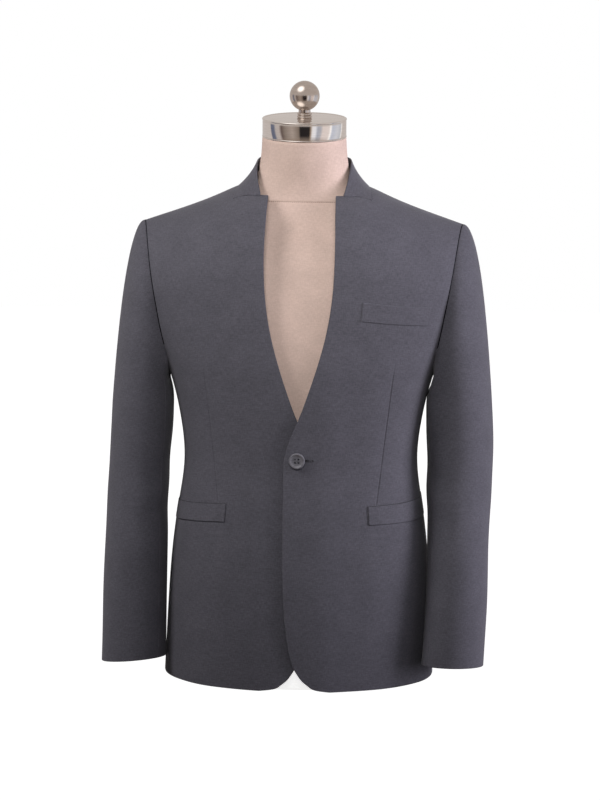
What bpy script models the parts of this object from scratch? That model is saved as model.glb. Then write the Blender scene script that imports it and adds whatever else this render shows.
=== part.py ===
"""Stand collar suit jacket, worn by a limbless dress form with a metal neck cap.

Metres, +Z up. The front of the jacket faces -Y, and the wearer's left side is at +X.
The origin is the middle of the form's flat base, on the surface that it stands on.
A panel is a thin wall: a grid of points on the outer side of the cloth, and the same points moved in.
"""

import math

import bpy
import numpy as np

# Cloth and seams
CLOTH = 0.002
SEAM_GAP = 0.0004
LAID_ON_GAP = 0.0007
WELT_CLOTH = 0.0015
OVERLAP_LIFT = 0.0038
OVERLAP_FULL_X = 0.030
OVERLAP_END_X = 0.085
OVERLAP_TOP = 0.420
OVERLAP_FADE = 0.560

# Body of the jacket
TOP_LEVEL = 0.707
UNDERARM_LEVEL = 0.440
FRONT_ROUNDING = 0.130
BACK_ROUNDING = 0.120
ROUNDNESS = 2.4
SIDE_SEAM_FRONT = 80.0
SIDE_SEAM_BACK = 106.0
CENTRE_BACK = 180.0
CORNER_TOP = 0.060
LAPEL_FOOT = 0.455

# Neck of the jacket
NECK_POINT_X = 0.0912
BACK_NECK_REACH = 0.59
GORGE_X = 0.098
GORGE_LEVEL = 0.6935
FRONT_CORNER_X = 0.0475
FRONT_CORNER_LEVEL = 0.6895
COLLAR_END_X = 0.0577
COLLAR_BASE_IN = 0.0008
COLLAR_BASE_UP = 0.0004
GORGE_GAP = 0.0006

# Button at the waist
BUTTON_LEVEL = 0.331
BUTTON_RADIUS = 0.0112
BUTTON_THICKNESS = 0.0040
BUTTON_SHANK = 0.0016
BUTTON_STEM_RADIUS = 0.0034
BUTTON_RIM = 0.0024
BUTTON_DISH = 0.0010
BUTTON_HOLE_RADIUS = 0.0010
BUTTON_HOLE_OFFSET = 0.0024
BUTTON_HOLE_DEPTH = 0.0030

# Neck cap and finial of the dress form
NECK_TOP = 0.7765
NECK_TILT = math.radians(5.0)
NECK_TILT_START = 0.690
CAP_GAP = 0.0004
CAP_RADIUS = 0.0600
CAP_HEIGHT = 0.0270
CAP_EDGE = 0.0012
STEM_RADIUS = 0.0090
STEM_FOOT_RADIUS = 0.0106
STEM_FOOT_HEIGHT = 0.0078
STEM_STEP = 0.0012
BALL_RADIUS = 0.0213
BALL_HEIGHT = 0.0308
BASE_EDGE = 0.006
BASE_HEIGHT = 0.046

# Counts of cells in the grids
FRONT_COLUMNS = 10
BACK_COLUMNS = 8
SIDE_COLUMNS = 4
SIDE_ROWS = 14
SLEEVE_CAP_ROWS = 9
SLEEVE_ARM_ROWS = 11
TOP_SLEEVE_COLUMNS = 11
UNDER_SLEEVE_COLUMNS = 6
COLLAR_COLUMNS = 28
COLLAR_ROWS = 4
FORM_ROWS = 34
FORM_SIDES = 28
TURNED_SIDES = 28


def columns(names, rows):
    """A table as a dictionary of arrays, one for each named column."""
    return dict(zip(names.split(), np.array(rows, float).T))


# Sections of the jacket on the form, from the hem to the shoulder
BODY = columns(
    "level half_width front back middle",
    [
        (0.000, 0.1934, 0.1370, 0.1310, 0.000),
        (0.100, 0.1890, 0.1350, 0.1340, 0.000),
        (0.190, 0.1830, 0.1310, 0.1270, 0.000),
        (0.255, 0.1745, 0.1265, 0.1170, 0.000),
        (0.315, 0.1670, 0.1225, 0.1090, 0.000),
        (0.372, 0.1718, 0.1250, 0.1115, 0.000),
        (0.440, 0.1880, 0.1310, 0.1180, 0.000),
        (0.500, 0.2090, 0.1330, 0.1225, 0.001),
        (0.560, 0.2230, 0.1320, 0.1240, 0.003),
        (0.630, 0.2335, 0.1300, 0.1240, 0.007),
        (0.707, 0.2400, 0.1280, 0.1200, 0.012),
    ],
)

# Line of the shoulder, from the centre to past the sleeve seam
SHOULDER = columns(
    "x height",
    [
        (0.0000, 0.7160),
        (0.0500, 0.7145),
        (0.0912, 0.7068),
        (0.1150, 0.6964),
        (0.1530, 0.6805),
        (0.1880, 0.6680),
        (0.2245, 0.6555),
        (0.2600, 0.6430),
    ],
)

# Armhole, turning from the shoulder (0) by the front or by the back to the underarm (180)
ARMHOLE = columns(
    "turn front_angle back_angle",
    [
        (0, 69.0, 69.0),
        (45, 65.2, 68.5),
        (90, 64.4, 69.0),
        (135, 70.0, 72.5),
        (160, 78.5, 79.5),
        (180, 90.0, 90.0),
    ],
)

# Front edge from the hem to the top corner: how far each front reaches past the centre line
FRONT_EDGE = columns(
    "level reach",
    [
        (0.0030, -0.0500),
        (0.0046, -0.0370),
        (0.0098, -0.0215),
        (0.0176, -0.0118),
        (0.0248, -0.0058),
        (0.0340, 0.0000),
        (0.0600, 0.0085),
        (0.1000, 0.0145),
        (0.2000, 0.0192),
        (0.3000, 0.0192),
        (0.3420, 0.0160),
        (0.3850, 0.0000),
        (0.4250, -0.0145),
        (0.4700, -0.0290),
        (0.5200, -0.0415),
        (0.5700, -0.0480),
        (0.6200, -0.0495),
        (0.6600, -0.0485),
        (0.6895, -0.0475),
    ],
)
CORNER_ROWS = 6

# Height of the hem, round from the centre front to the centre back
HEM = columns(
    "angle level",
    [
        (0, 0.0028),
        (30, 0.0033),
        (60, 0.0053),
        (90, 0.0093),
        (130, 0.0120),
        (180, 0.0120),
    ],
)

# Rings of the sleeves, from the cuff to below the underarm, where the inner front is pressed to the body
RIGHT_SLEEVE = columns(
    "level x y half_width half_depth press",
    [
        (0.029, 0.2353, -0.043, 0.0463, 0.0460, 0.000),
        (0.120, 0.2352, -0.028, 0.0455, 0.0520, 0.000),
        (0.200, 0.2350, -0.014, 0.0450, 0.0580, 0.000),
        (0.270, 0.2340, 0.000, 0.0440, 0.0640, 0.000),
        (0.340, 0.2300, 0.007, 0.0445, 0.0690, 0.000),
        (0.395, 0.2280, 0.008, 0.0440, 0.0730, 0.000),
    ],
)
LEFT_SLEEVE = columns(
    "level x y half_width half_depth press",
    [
        (0.034, 0.2219, -0.077, 0.0440, 0.0460, 0.000),
        (0.120, 0.2258, -0.058, 0.0435, 0.0520, 0.000),
        (0.200, 0.2272, -0.034, 0.0440, 0.0580, 0.000),
        (0.270, 0.2274, -0.010, 0.0467, 0.0640, 0.000),
        (0.340, 0.2273, 0.005, 0.0484, 0.0690, 0.003),
        (0.395, 0.2257, 0.008, 0.0473, 0.0730, 0.007),
    ],
)
RIGHT_CUFF_SLANT = -0.10
LEFT_CUFF_SLANT = 0.0
CUFF_PITCH = 0.077
CUFF_SLANT_END = 0.270
FRONT_SLEEVE_SEAM = 144.0
BACK_SLEEVE_SEAM = 250.0

# How far the sleeve's curve runs on as it leaves the armhole, at each part of the armhole
LEAVES_SHOULDER = (0.0178, 0.000, 0.002)
LEAVES_FRONT = (0.014, -0.014, -0.024)
LEAVES_BACK = (0.020, 0.006, -0.022)
LEAVES_UNDERARM = (0.001, 0.000, -0.015)
ARM_LEAN = 0.069
ARM_PULL = 0.65

# Collar, from its end at the front to the centre back: its top edge, and how far it is hollowed
COLLAR = columns(
    "station x y height hollow",
    [
        (0, 0.0577, -0.0535, 0.6965, 0.0000),
        (1, 0.0625, -0.0340, 0.7150, 0.0010),
        (2, 0.0656, -0.0020, 0.7360, 0.0022),
        (3, 0.0615, 0.0400, 0.7450, 0.0025),
        (4, 0.0380, 0.0700, 0.7460, 0.0020),
        (5, 0.0000, 0.0800, 0.7460, 0.0020),
    ],
)
NECK_POINT_STATION = 2
CENTRE_BACK_STATION = 5

# Pocket welts: the angle of each end, and the levels of the upper and lower edge there
LEFT_HIP_POCKET = {"ends": (31.0, 95.0), "upper": (0.2645, 0.2675), "lower": (0.2385, 0.2390)}
RIGHT_HIP_POCKET = {"ends": (31.0, 95.0), "upper": (0.2655, 0.2550), "lower": (0.2400, 0.2290)}
CHEST_POCKET = {"ends": (19.6, 52.5), "upper": (0.5538, 0.5612), "lower": (0.5272, 0.5279)}

# Sections of the dress form, from its base to the top of its neck
FORM = columns(
    "level half_width front back middle",
    [
        (0.0000, 0.1640, 0.1160, 0.1130, 0.000),
        (0.1000, 0.1680, 0.1180, 0.1190, 0.000),
        (0.2000, 0.1600, 0.1150, 0.1110, 0.000),
        (0.3150, 0.1480, 0.1080, 0.0930, 0.000),
        (0.4000, 0.1590, 0.1140, 0.1000, 0.000),
        (0.4700, 0.1740, 0.1200, 0.1070, 0.000),
        (0.5400, 0.1880, 0.1190, 0.1080, 0.003),
        (0.6000, 0.1960, 0.1080, 0.1020, 0.006),
        (0.6350, 0.1960, 0.0890, 0.0900, 0.008),
        (0.6550, 0.1870, 0.0740, 0.0760, 0.009),
        (0.6680, 0.1640, 0.0680, 0.0700, 0.010),
        (0.6800, 0.1320, 0.0640, 0.0660, 0.011),
        (0.6920, 0.1040, 0.0600, 0.0630, 0.011),
        (0.7040, 0.0840, 0.0580, 0.0610, 0.010),
        (0.7180, 0.0700, 0.0580, 0.0600, 0.009),
        (0.7350, 0.0635, 0.0590, 0.0600, 0.007),
        (0.7550, 0.0608, 0.0595, 0.0595, 0.004),
        (0.7765, 0.0596, 0.0592, 0.0592, 0.001),
    ],
)
FORM_ROUNDNESS = 2.3
NECK_ROUNDNESS = 2.0

# Looks: base colour, roughness and metallic value of each material
MATERIALS = {
    "suiting": ((0.080, 0.077, 0.089), 0.85, 0.0),
    "button_horn": ((0.110, 0.106, 0.120), 0.35, 0.0),
    "form_linen": ((0.660, 0.540, 0.470), 0.90, 0.0),
    "plinth_white": ((0.800, 0.790, 0.770), 0.60, 0.0),
    "cap_metal": ((0.780, 0.740, 0.690), 0.12, 1.0),
}


def spline(knots, values):
    """A smooth curve through the values at the knots, as a function (a natural cubic spline)."""
    step = np.diff(knots)
    rise = np.diff(values) / step
    count = len(knots)
    system = np.eye(count)
    bends = np.zeros(count)
    for i in range(1, count - 1):
        system[i, i - 1 : i + 2] = step[i - 1], 2 * (step[i - 1] + step[i]), step[i]
        bends[i] = 6 * (rise[i] - rise[i - 1])
    bends = np.linalg.solve(system, bends)

    def curve(place):
        place = np.asarray(place, float)
        i = np.clip(np.searchsorted(knots, place) - 1, 0, count - 2)
        low = (knots[i + 1] - place) / step[i]
        high = 1 - low
        bend = ((low**3 - low) * bends[i] + (high**3 - high) * bends[i + 1]) * step[i] ** 2 / 6
        return low * values[i] + high * values[i + 1] + bend

    return curve


def splines(table, key):
    """A curve for every other column of a table, by the column that is the key."""
    return {name: spline(table[key], table[name]) for name in table if name != key}


body = splines(BODY, "level")
shoulder_height = spline(SHOULDER["x"], SHOULDER["height"])
armhole = splines(ARMHOLE, "turn")
front_edge = spline(FRONT_EDGE["level"], FRONT_EDGE["reach"])
hem_level = spline(HEM["angle"], HEM["level"])
collar_edge = splines(COLLAR, "station")
form = splines(FORM, "level")


def smoothstep(place, start, end):
    share = np.clip((place - start) / (end - start), 0, 1)
    return share * share * (3 - 2 * share)


def signed_power(value, power):
    return np.sign(value) * np.abs(value) ** power


def unit(vectors):
    return vectors / np.linalg.norm(vectors, axis=-1, keepdims=True)


def chain(stops, cells):
    """Even steps from stop to stop, with a count of cells for each run."""
    runs = [np.linspace(a, b, n + 1)[1:] for a, b, n in zip(stops, stops[1:], cells)]
    return np.concatenate([[stops[0]], *runs])


def rounding(level, distance):
    """Share of its full depth that a section keeps near the shoulder line: a quarter round."""
    share = np.clip((TOP_LEVEL - level) / distance, 0, 1)
    return np.sqrt(1 - (1 - share) ** 2)


def round_level(turn, distance):
    """Level at a turn of the quarter round, from the shoulder line (0) down."""
    return TOP_LEVEL - distance * (1 - np.cos(np.radians(turn)))


def round_turn(level, distance):
    return float(np.degrees(np.arccos(1 - (TOP_LEVEL - level) / distance)))


def body_surface(angle, level):
    """Points on the outer side of the jacket's body, at an angle from the centre front and a level.

    Levels are flat sections below the underarm, and bend to follow the shoulder line above it.
    """
    turn = np.radians(angle)
    x = body["half_width"](level) * signed_power(np.sin(turn), 2 / ROUNDNESS)
    cosine = np.cos(turn)
    front = body["front"](level) * rounding(level, FRONT_ROUNDING)
    back = body["back"](level) * rounding(level, BACK_ROUNDING)
    y = body["middle"](level) - np.where(cosine > 0, front, back) * signed_power(cosine, 2 / ROUNDNESS)
    follow = smoothstep(level, UNDERARM_LEVEL, TOP_LEVEL)
    z = level + follow * (shoulder_height(np.abs(x)) - TOP_LEVEL)
    return np.stack([x, y, z], axis=-1)


def body_normals(angle, level):
    """Unit normals of the jacket's body, facing out."""
    round_it = body_surface(angle + 0.5, level) - body_surface(angle - 0.5, level)
    top = np.minimum(level + 0.0003, TOP_LEVEL)
    up_it = body_surface(angle, top) - body_surface(angle, top - 0.0006)
    normals = np.cross(round_it, up_it)
    normals[..., 1] *= level < TOP_LEVEL - 1e-6
    return unit(normals)


def angle_at(x, level):
    """Angle from the centre front at which the section at a level has this x."""
    share = np.clip(x / body["half_width"](level), -1, 1)
    return np.degrees(np.arcsin(signed_power(share, ROUNDNESS / 2)))


def armhole_place(turn, behind=False):
    """(angle, level) of a point of the armhole's front or back half."""
    middle = (TOP_LEVEL + UNDERARM_LEVEL) / 2
    level = middle + (TOP_LEVEL - middle) * np.cos(np.radians(turn))
    if behind:
        return 180 - armhole["back_angle"](turn), level
    return armhole["front_angle"](turn), level


def armhole_turn_at(angle, behind=False):
    """Turn at which the lower part of the armhole crosses an angle of the body."""
    turns = np.linspace(135, 180, 181)
    angles = armhole_place(turns, behind)[0]
    order = np.argsort(angles)
    return float(np.interp(angle, angles[order], turns[order]))


def ruled(left, right, cells):
    """A grid of (angle, level) places between two edges of a panel."""
    share = np.linspace(0, 1, cells + 1)[None, :]
    return [a[:, None] * (1 - share) + b[:, None] * share for a, b in zip(left, right)]


def front_places():
    """Grid of a front, between its front edge, gorge and neck and its side seam and armhole."""
    corner_turn = round_turn(FRONT_CORNER_LEVEL, FRONT_ROUNDING)
    gorge_turn = round_turn(GORGE_LEVEL, FRONT_ROUNDING)
    edge_level = chain([CORNER_TOP, LAPEL_FOOT, FRONT_CORNER_LEVEL], [12, 7])
    edge_level = np.concatenate([FRONT_EDGE["level"][:CORNER_ROWS], edge_level])
    neck_level = round_level(chain([corner_turn, gorge_turn, 0], [3, 4])[1:], FRONT_ROUNDING)
    neck_x = chain([FRONT_CORNER_X, GORGE_X, NECK_POINT_X], [3, 4])[1:]
    level = np.concatenate([edge_level, neck_level])
    x = np.concatenate([-front_edge(edge_level), neck_x])
    left = angle_at(x, level), level

    joint = armhole_turn_at(SIDE_SEAM_FRONT)
    seam_level = chain([hem_level(SIDE_SEAM_FRONT), CORNER_TOP, armhole_place(joint)[1]], [CORNER_ROWS, 12])
    turn = chain([joint, corner_turn + 4, gorge_turn, 0], [7, 3, 4])[1:]
    arm_angle, arm_level = armhole_place(turn)
    seam_angle = np.full(len(seam_level), SIDE_SEAM_FRONT)
    right = np.concatenate([seam_angle, arm_angle]), np.concatenate([seam_level, arm_level])
    return ruled(left, right, FRONT_COLUMNS)


def back_neck_place(turn):
    """(angle, level) on the back half of the neck edge, from the centre back (0) to the shoulder (90)."""
    reach = BACK_NECK_REACH * np.cos(np.radians(turn))
    level = round_level(np.degrees(np.arcsin(reach)), BACK_ROUNDING)
    return 180 - angle_at(NECK_POINT_X * np.sin(np.radians(turn)), level), level


def back_places():
    """Grid of a back, between the centre back seam and neck and its side seam and armhole."""
    neck_angle, neck_level = back_neck_place(chain([0, 90], [5]))
    joint = armhole_turn_at(SIDE_SEAM_BACK, behind=True)
    joint_level = armhole_place(joint, behind=True)[1]
    level = chain([hem_level(CENTRE_BACK), joint_level, neck_level[0]], [12, 7])
    left = (
        np.concatenate([np.full(len(level), CENTRE_BACK), neck_angle[1:]]),
        np.concatenate([level, neck_level[1:]]),
    )
    seam_level = chain([hem_level(SIDE_SEAM_BACK), joint_level], [12])
    turn = chain([joint, 36, 0], [7, 5])[1:]
    arm_angle, arm_level = armhole_place(turn, behind=True)
    right = (
        np.concatenate([np.full(len(seam_level), SIDE_SEAM_BACK), arm_angle]),
        np.concatenate([seam_level, arm_level]),
    )
    return ruled(left, right, BACK_COLUMNS)


def side_places():
    """Grid of a side panel, from the hem to the lower part of the armhole."""
    angle = np.linspace(SIDE_SEAM_FRONT, SIDE_SEAM_BACK, SIDE_COLUMNS + 1)
    top = [armhole_place(armhole_turn_at(a, a > 90), a > 90)[1] for a in angle]
    share = np.linspace(0, 1, SIDE_ROWS + 1)[:, None]
    level = hem_level(angle) * (1 - share) + np.array(top) * share
    return np.broadcast_to(angle, level.shape), level


def drawn_in(points, edges):
    """A grid with some of its edges drawn in by half of the seam gap."""
    points = points.copy()
    for edge in edges:
        grid = {"left": points, "right": points[:, ::-1]}.get(edge)
        if grid is None:
            grid = points[::-1].swapaxes(0, 1)
        grid[:, 0] += SEAM_GAP / 2 * unit(grid[:, 1] - grid[:, 0])
    return points


def grid_normals(points):
    """Unit normals of a grid, facing the side from which its columns run right and its rows run up."""
    return unit(np.cross(np.gradient(points, axis=1), np.gradient(points, axis=0)))


def wall_mesh(name, outer, inner):
    """A closed wall between two grids of points that share their rows and columns."""
    rows, cols = outer.shape[:2]
    count = rows * cols
    index = np.arange(count).reshape(rows, cols)
    faces = [index[:-1, :-1], index[:-1, 1:], index[1:, 1:], index[1:, :-1]]
    faces = np.stack(faces, axis=-1).reshape(-1, 4)
    rim = np.concatenate([index[0, :-1], index[:-1, -1], index[-1, :0:-1], index[:0:-1, 0]])
    after = np.roll(rim, -1)
    sides = np.stack([after, rim, rim + count, after + count], axis=-1)
    points = np.concatenate([outer.reshape(-1, 3), inner.reshape(-1, 3)])
    mesh = bpy.data.meshes.new(name)
    mesh.from_pydata(points.tolist(), [], np.concatenate([faces, faces[:, ::-1] + count, sides]).tolist())
    return mesh


def signed_volume(mesh):
    mesh.calc_loop_triangles()
    corners = np.array([[mesh.vertices[i].co for i in t.vertices] for t in mesh.loop_triangles])
    return float(np.einsum("ij,ij->", corners[:, 0], np.cross(corners[:, 1], corners[:, 2])))


def add_object(name, mesh, material):
    """Puts a mesh into the scene as a named part with its material, facing out and shaded smooth."""
    mesh.update()
    if signed_volume(mesh) < 0:
        mesh.flip_normals()
    mesh.shade_smooth()
    mesh.set_sharp_from_angle(angle=math.radians(40))
    mesh.materials.append(bpy.data.materials[material])
    part = bpy.data.objects.new(name, mesh)
    bpy.context.scene.collection.objects.link(part)
    return part


def add_wall(name, outer, normals, thickness=CLOTH, side=1):
    """A panel of cloth: its outer points, and its inner points a thickness behind them."""
    mirror = np.array([side, 1, 1])
    inner = outer - thickness * normals
    return add_object(name, wall_mesh(name, outer * mirror, inner * mirror), "suiting")


def turned_mesh(name, profile, sides, place=(0, 0, 0), tilt=0.0):
    """A turned solid: (radius, height) rows from end to end, its axis tilted from +Z to -Y."""
    turn = np.linspace(0, 2 * math.pi, sides, endpoint=False)
    points = [(0, 0, profile[0][1])]
    for radius, height in profile[1:-1]:
        points += [(radius * math.cos(t), radius * math.sin(t), height) for t in turn]
    points.append((0, 0, profile[-1][1]))
    rings = len(profile) - 2
    faces = []
    for i in range(sides):
        j = (i + 1) % sides
        faces.append((0, 1 + j, 1 + i))
        for low in range(1, 1 + (rings - 1) * sides, sides):
            faces.append((low + i, low + j, low + sides + j, low + sides + i))
        last = 1 + (rings - 1) * sides
        faces.append((last + i, last + j, len(points) - 1))
    x, y, z = np.array(points).T
    cosine, sine = math.cos(tilt), math.sin(tilt)
    points = np.stack([x, y * cosine - z * sine, y * sine + z * cosine], axis=-1)
    mesh = bpy.data.meshes.new(name)
    mesh.from_pydata((points + np.array(place)).tolist(), [], faces)
    return mesh


def overlap_lift(angle, level):
    """How far the over front stands off, so that it lies on the under front below the crossing."""
    x = body_surface(angle, level)[..., 0]
    beside = 1 - smoothstep(x, OVERLAP_FULL_X, OVERLAP_END_X)
    return OVERLAP_LIFT * beside * (1 - smoothstep(level, OVERLAP_TOP, OVERLAP_FADE))


def add_body():
    """The two fronts, sides and backs. The wearer's left front lies over the right one."""
    for side, hand in ((1, "left"), (-1, "right")):
        for piece, places, edges in (
            ("front", front_places(), ("right", "top")),
            ("side", side_places(), ("left", "right", "top")),
            ("back", back_places(), ("left", "right", "top")),
        ):
            points, normals = body_surface(*places), body_normals(*places)
            if (piece, hand) == ("front", "left"):
                points = points + overlap_lift(*places)[..., None] * normals
            add_wall(f"{piece}_{hand}", drawn_in(points, edges), normals, side=side)


def armhole_ring(turn):
    """Points just outside the armhole of the body, all the way round (90 is the front, 270 the back)."""
    turn = turn % 360
    behind = turn > 180
    half = np.where(behind, 360 - turn, turn)
    angle = np.where(behind, armhole_place(half, True)[0], armhole_place(half)[0])
    level = armhole_place(half)[1]
    across = unit(body_surface(angle + 0.5, level) - body_surface(angle - 0.5, level))
    across = across * np.where(behind, -1, 1)[:, None]
    under = smoothstep(half, 120, 170)[:, None]
    away = unit(across * (1 - under) + np.array([1.0, 0, 0]) * under)
    return body_surface(angle, level) + 2 * SEAM_GAP * away


def inner_front(turn):
    """Share of the pressing in at a turn of the sleeve: all halfway from its front to its inner side."""
    turn = np.asarray(turn) % 360
    return np.where((turn > 90) & (turn < 180), np.sin(np.radians(2 * turn)) ** 4, 0)


def sleeve_ring(sleeve, slant, turn, level):
    """Points round the sleeve at a level below the underarm; slant and pitch tip it at the cuff."""
    across, ahead = np.cos(np.radians(turn)), np.sin(np.radians(turn))
    x = sleeve["x"](level) + sleeve["half_width"](level) * across - sleeve["press"](level) * inner_front(turn)
    y = sleeve["y"](level) - sleeve["half_depth"](level) * ahead
    tip = slant * sleeve["half_width"](level) * across + CUFF_PITCH * sleeve["half_depth"](level) * ahead
    return np.stack([x, y, level + tip * (1 - smoothstep(level, 0, CUFF_SLANT_END))], axis=-1)


def sleeve_grid(table, slant, turns):
    """Grid of a sleeve from its cuff to the armhole, at turns from the shoulder by the front."""
    sleeve = splines(table, "level")
    levels = np.linspace(table["level"][0], table["level"][-1], SLEEVE_ARM_ROWS + 1)
    arm = [sleeve_ring(sleeve, slant, turns, level) for level in levels]
    start, end = armhole_ring(turns), arm[-1]
    across, ahead = np.cos(np.radians(turns))[:, None], np.sin(np.radians(turns))[:, None]
    leaves = np.maximum(across, 0) * LEAVES_SHOULDER + np.maximum(-across, 0) * LEAVES_UNDERARM
    leaves = leaves + np.maximum(ahead, 0) * LEAVES_FRONT + np.maximum(-ahead, 0) * LEAVES_BACK
    rise = (start - end)[:, 2:]
    lean = np.concatenate([-ARM_LEAN * (1 + across) / 2, 0 * across, np.ones_like(across)], axis=1)
    near, far = start + leaves, end + ARM_PULL * rise * lean
    near[:, 0] -= table["press"][-1] * inner_front(turns)
    cap = []
    for t in np.linspace(1, 0, SLEEVE_CAP_ROWS + 1)[1:]:
        s = 1 - t
        cap.append(s**3 * start + 3 * s * s * t * near + 3 * s * t * t * far + t**3 * end)
    return np.array(arm + cap)


def add_sleeves():
    """Two-piece sleeves: a top sleeve, and an under sleeve between its two seams."""
    top = np.linspace(BACK_SLEEVE_SEAM - 360, FRONT_SLEEVE_SEAM, TOP_SLEEVE_COLUMNS + 1)
    under = np.linspace(FRONT_SLEEVE_SEAM, BACK_SLEEVE_SEAM, UNDER_SLEEVE_COLUMNS + 1)
    for side, hand, table, slant in (
        (1, "left", LEFT_SLEEVE, LEFT_CUFF_SLANT),
        (-1, "right", RIGHT_SLEEVE, RIGHT_CUFF_SLANT),
    ):
        ring = np.concatenate([top, under[1:-1]])
        whole = sleeve_grid(table, slant, np.concatenate([ring, ring, ring]))
        normals = -grid_normals(whole)[:, len(ring) : 2 * len(ring) + 1]
        points = whole[:, len(ring) : 2 * len(ring) + 1]
        for piece, cut in (("top", slice(0, len(top))), ("under", slice(len(top) - 1, None))):
            outer = drawn_in(points[:, cut], ("left", "right"))
            add_wall(f"{piece}_sleeve_{hand}", outer, normals[:, cut], side=side)


def neck_edge(station):
    """Points of the jacket's neck edge at stations of the collar, on the wearer's left side."""
    share = np.clip(station / NECK_POINT_STATION, 0, 1)
    level = round_level(round_turn(GORGE_LEVEL, FRONT_ROUNDING) * (1 - share), FRONT_ROUNDING)
    ahead = body_surface(angle_at(GORGE_X + share * (NECK_POINT_X - GORGE_X), level), level)
    left = CENTRE_BACK_STATION - NECK_POINT_STATION
    behind = body_surface(*back_neck_place(90 * np.clip((CENTRE_BACK_STATION - station) / left, 0, 1)))
    return np.where((station < NECK_POINT_STATION)[:, None], ahead, behind)


def gorge_line(share):
    """Points along the seam between a front and the end of the collar, from its outer to its inner end."""
    x = GORGE_X + share * (COLLAR_END_X - GORGE_X)
    along = (x - FRONT_CORNER_X) / (GORGE_X - FRONT_CORNER_X)
    corner, gorge = round_turn(FRONT_CORNER_LEVEL, FRONT_ROUNDING), round_turn(GORGE_LEVEL, FRONT_ROUNDING)
    level = round_level(corner + along * (gorge - corner), FRONT_ROUNDING)
    return body_surface(angle_at(x, level), level) + np.array([0, 0, GORGE_GAP])


def add_collar():
    """A standing band, sewn along the neck edge and along a short gorge at each front."""
    rows = np.linspace(0, 1, COLLAR_ROWS + 1)
    half = np.linspace(0, CENTRE_BACK_STATION, COLLAR_COLUMNS // 2 + 1)
    top = np.stack([collar_edge[name](half) for name in ("x", "y", "height")], axis=-1)
    base = neck_edge(half)
    inward = unit((top - base) * np.array([1, 1, 0]))
    base = base + COLLAR_BASE_IN * inward + np.array([0, 0, COLLAR_BASE_UP])
    share = rows[:, None, None]
    hollow = collar_edge["hollow"](half)[None, :, None] * 4 * share * (1 - share)
    points = base * (1 - share) + top * share + hollow * inward
    points[:, 0] = gorge_line(rows)
    whole = np.concatenate([points, points[:, -2::-1] * np.array([-1, 1, 1])], axis=1)
    add_wall("collar", whole, -grid_normals(whole))


def add_welt(name, pocket, side, column_count):
    """A pocket welt, lying on the body between its two ends."""
    angle = np.linspace(*pocket["ends"], column_count + 1)[None, :]
    upper, lower = (np.linspace(*pocket[edge], column_count + 1)[None, :] for edge in ("upper", "lower"))
    level = lower + (upper - lower) * np.linspace(0, 1, 3)[:, None]
    angle = np.broadcast_to(angle, level.shape)
    normals = body_normals(angle, level)
    outer = body_surface(angle, level) + (LAID_ON_GAP + WELT_CLOTH) * normals
    return add_wall(name, outer, normals, thickness=WELT_CLOTH, side=side)


def add_button():
    """A four-hole button on its thread stem, at the centre of the over front."""
    angle, level = np.array([0.0]), np.array([BUTTON_LEVEL])
    normal = body_normals(angle, level)[0]
    place = body_surface(angle, level)[0] + (overlap_lift(angle, level)[0] + SEAM_GAP) * normal
    tilt = math.atan2(-normal[1], normal[2])
    face = BUTTON_SHANK + BUTTON_THICKNESS
    profile = [
        (0, 0),
        (BUTTON_STEM_RADIUS, 0),
        (BUTTON_STEM_RADIUS, BUTTON_SHANK),
        (BUTTON_RADIUS - 0.0018, BUTTON_SHANK),
        (BUTTON_RADIUS, BUTTON_SHANK + 0.0014),
        (BUTTON_RADIUS, face - 0.0010),
        (BUTTON_RADIUS - 0.0010, face),
        (BUTTON_RADIUS - BUTTON_RIM, face),
        (BUTTON_RADIUS - BUTTON_RIM - 0.0012, face - BUTTON_DISH),
        (0, face - BUTTON_DISH),
    ]
    button = add_object("button", turned_mesh("button", profile, TURNED_SIDES, place, tilt), "button_horn")
    cutters = []
    for x, up in ((1, 1), (-1, 1), (-1, -1), (1, -1)):
        offset = np.array([x, math.cos(tilt) * up, math.sin(tilt) * up]) * BUTTON_HOLE_OFFSET
        floor = face - BUTTON_HOLE_DEPTH
        hole = [(0, floor), (BUTTON_HOLE_RADIUS, floor), (BUTTON_HOLE_RADIUS, face), (0, face)]
        mesh = turned_mesh("hole", hole, 10, place + offset, tilt)
        cutters.append(bpy.data.objects.new("hole", mesh))
        bpy.context.scene.collection.objects.link(cutters[-1])
        cut = button.modifiers.new("hole", "BOOLEAN")
        cut.object = cutters[-1]
    seen = button.evaluated_get(bpy.context.evaluated_depsgraph_get())
    carved = bpy.data.meshes.new_from_object(seen)
    button.modifiers.clear()
    button.data = carved
    for cutter in cutters:
        bpy.data.objects.remove(cutter)


def form_ring(level, inset=0.0):
    """Points round the dress form at a level; the rings of its neck tip forward."""
    turn = np.linspace(0, 2 * math.pi, FORM_SIDES, endpoint=False)
    neck = smoothstep(level, 0.655, 0.725)
    power = 2 / (FORM_ROUNDNESS + neck * (NECK_ROUNDNESS - FORM_ROUNDNESS))
    x = (form["half_width"](level) - inset) * signed_power(np.sin(turn), power)
    cosine = np.cos(turn)
    depth = np.where(cosine > 0, form["front"](level), form["back"](level)) - inset
    depth = -depth * signed_power(cosine, power)
    tip = math.tan(NECK_TILT) * smoothstep(level, NECK_TILT_START, NECK_TOP)
    return np.stack([x, form["middle"](level) + depth, level + tip * depth], axis=-1)


def ringed_mesh(name, rings):
    """A solid through rings of points, from its lower end to its upper end, both closed flat."""
    points = np.concatenate(rings + [[rings[0].mean(axis=0)], [rings[-1].mean(axis=0)]])
    sides = len(rings[0])
    last = (len(rings) - 1) * sides
    faces = []
    for i in range(sides):
        j = (i + 1) % sides
        faces.append((i, j, len(points) - 2))
        faces.append((last + j, last + i, len(points) - 1))
        for low in range(0, last, sides):
            faces.append((low + j, low + i, low + sides + i, low + sides + j))
    mesh = bpy.data.meshes.new(name)
    mesh.from_pydata(points.tolist(), [], faces)
    return mesh


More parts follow.
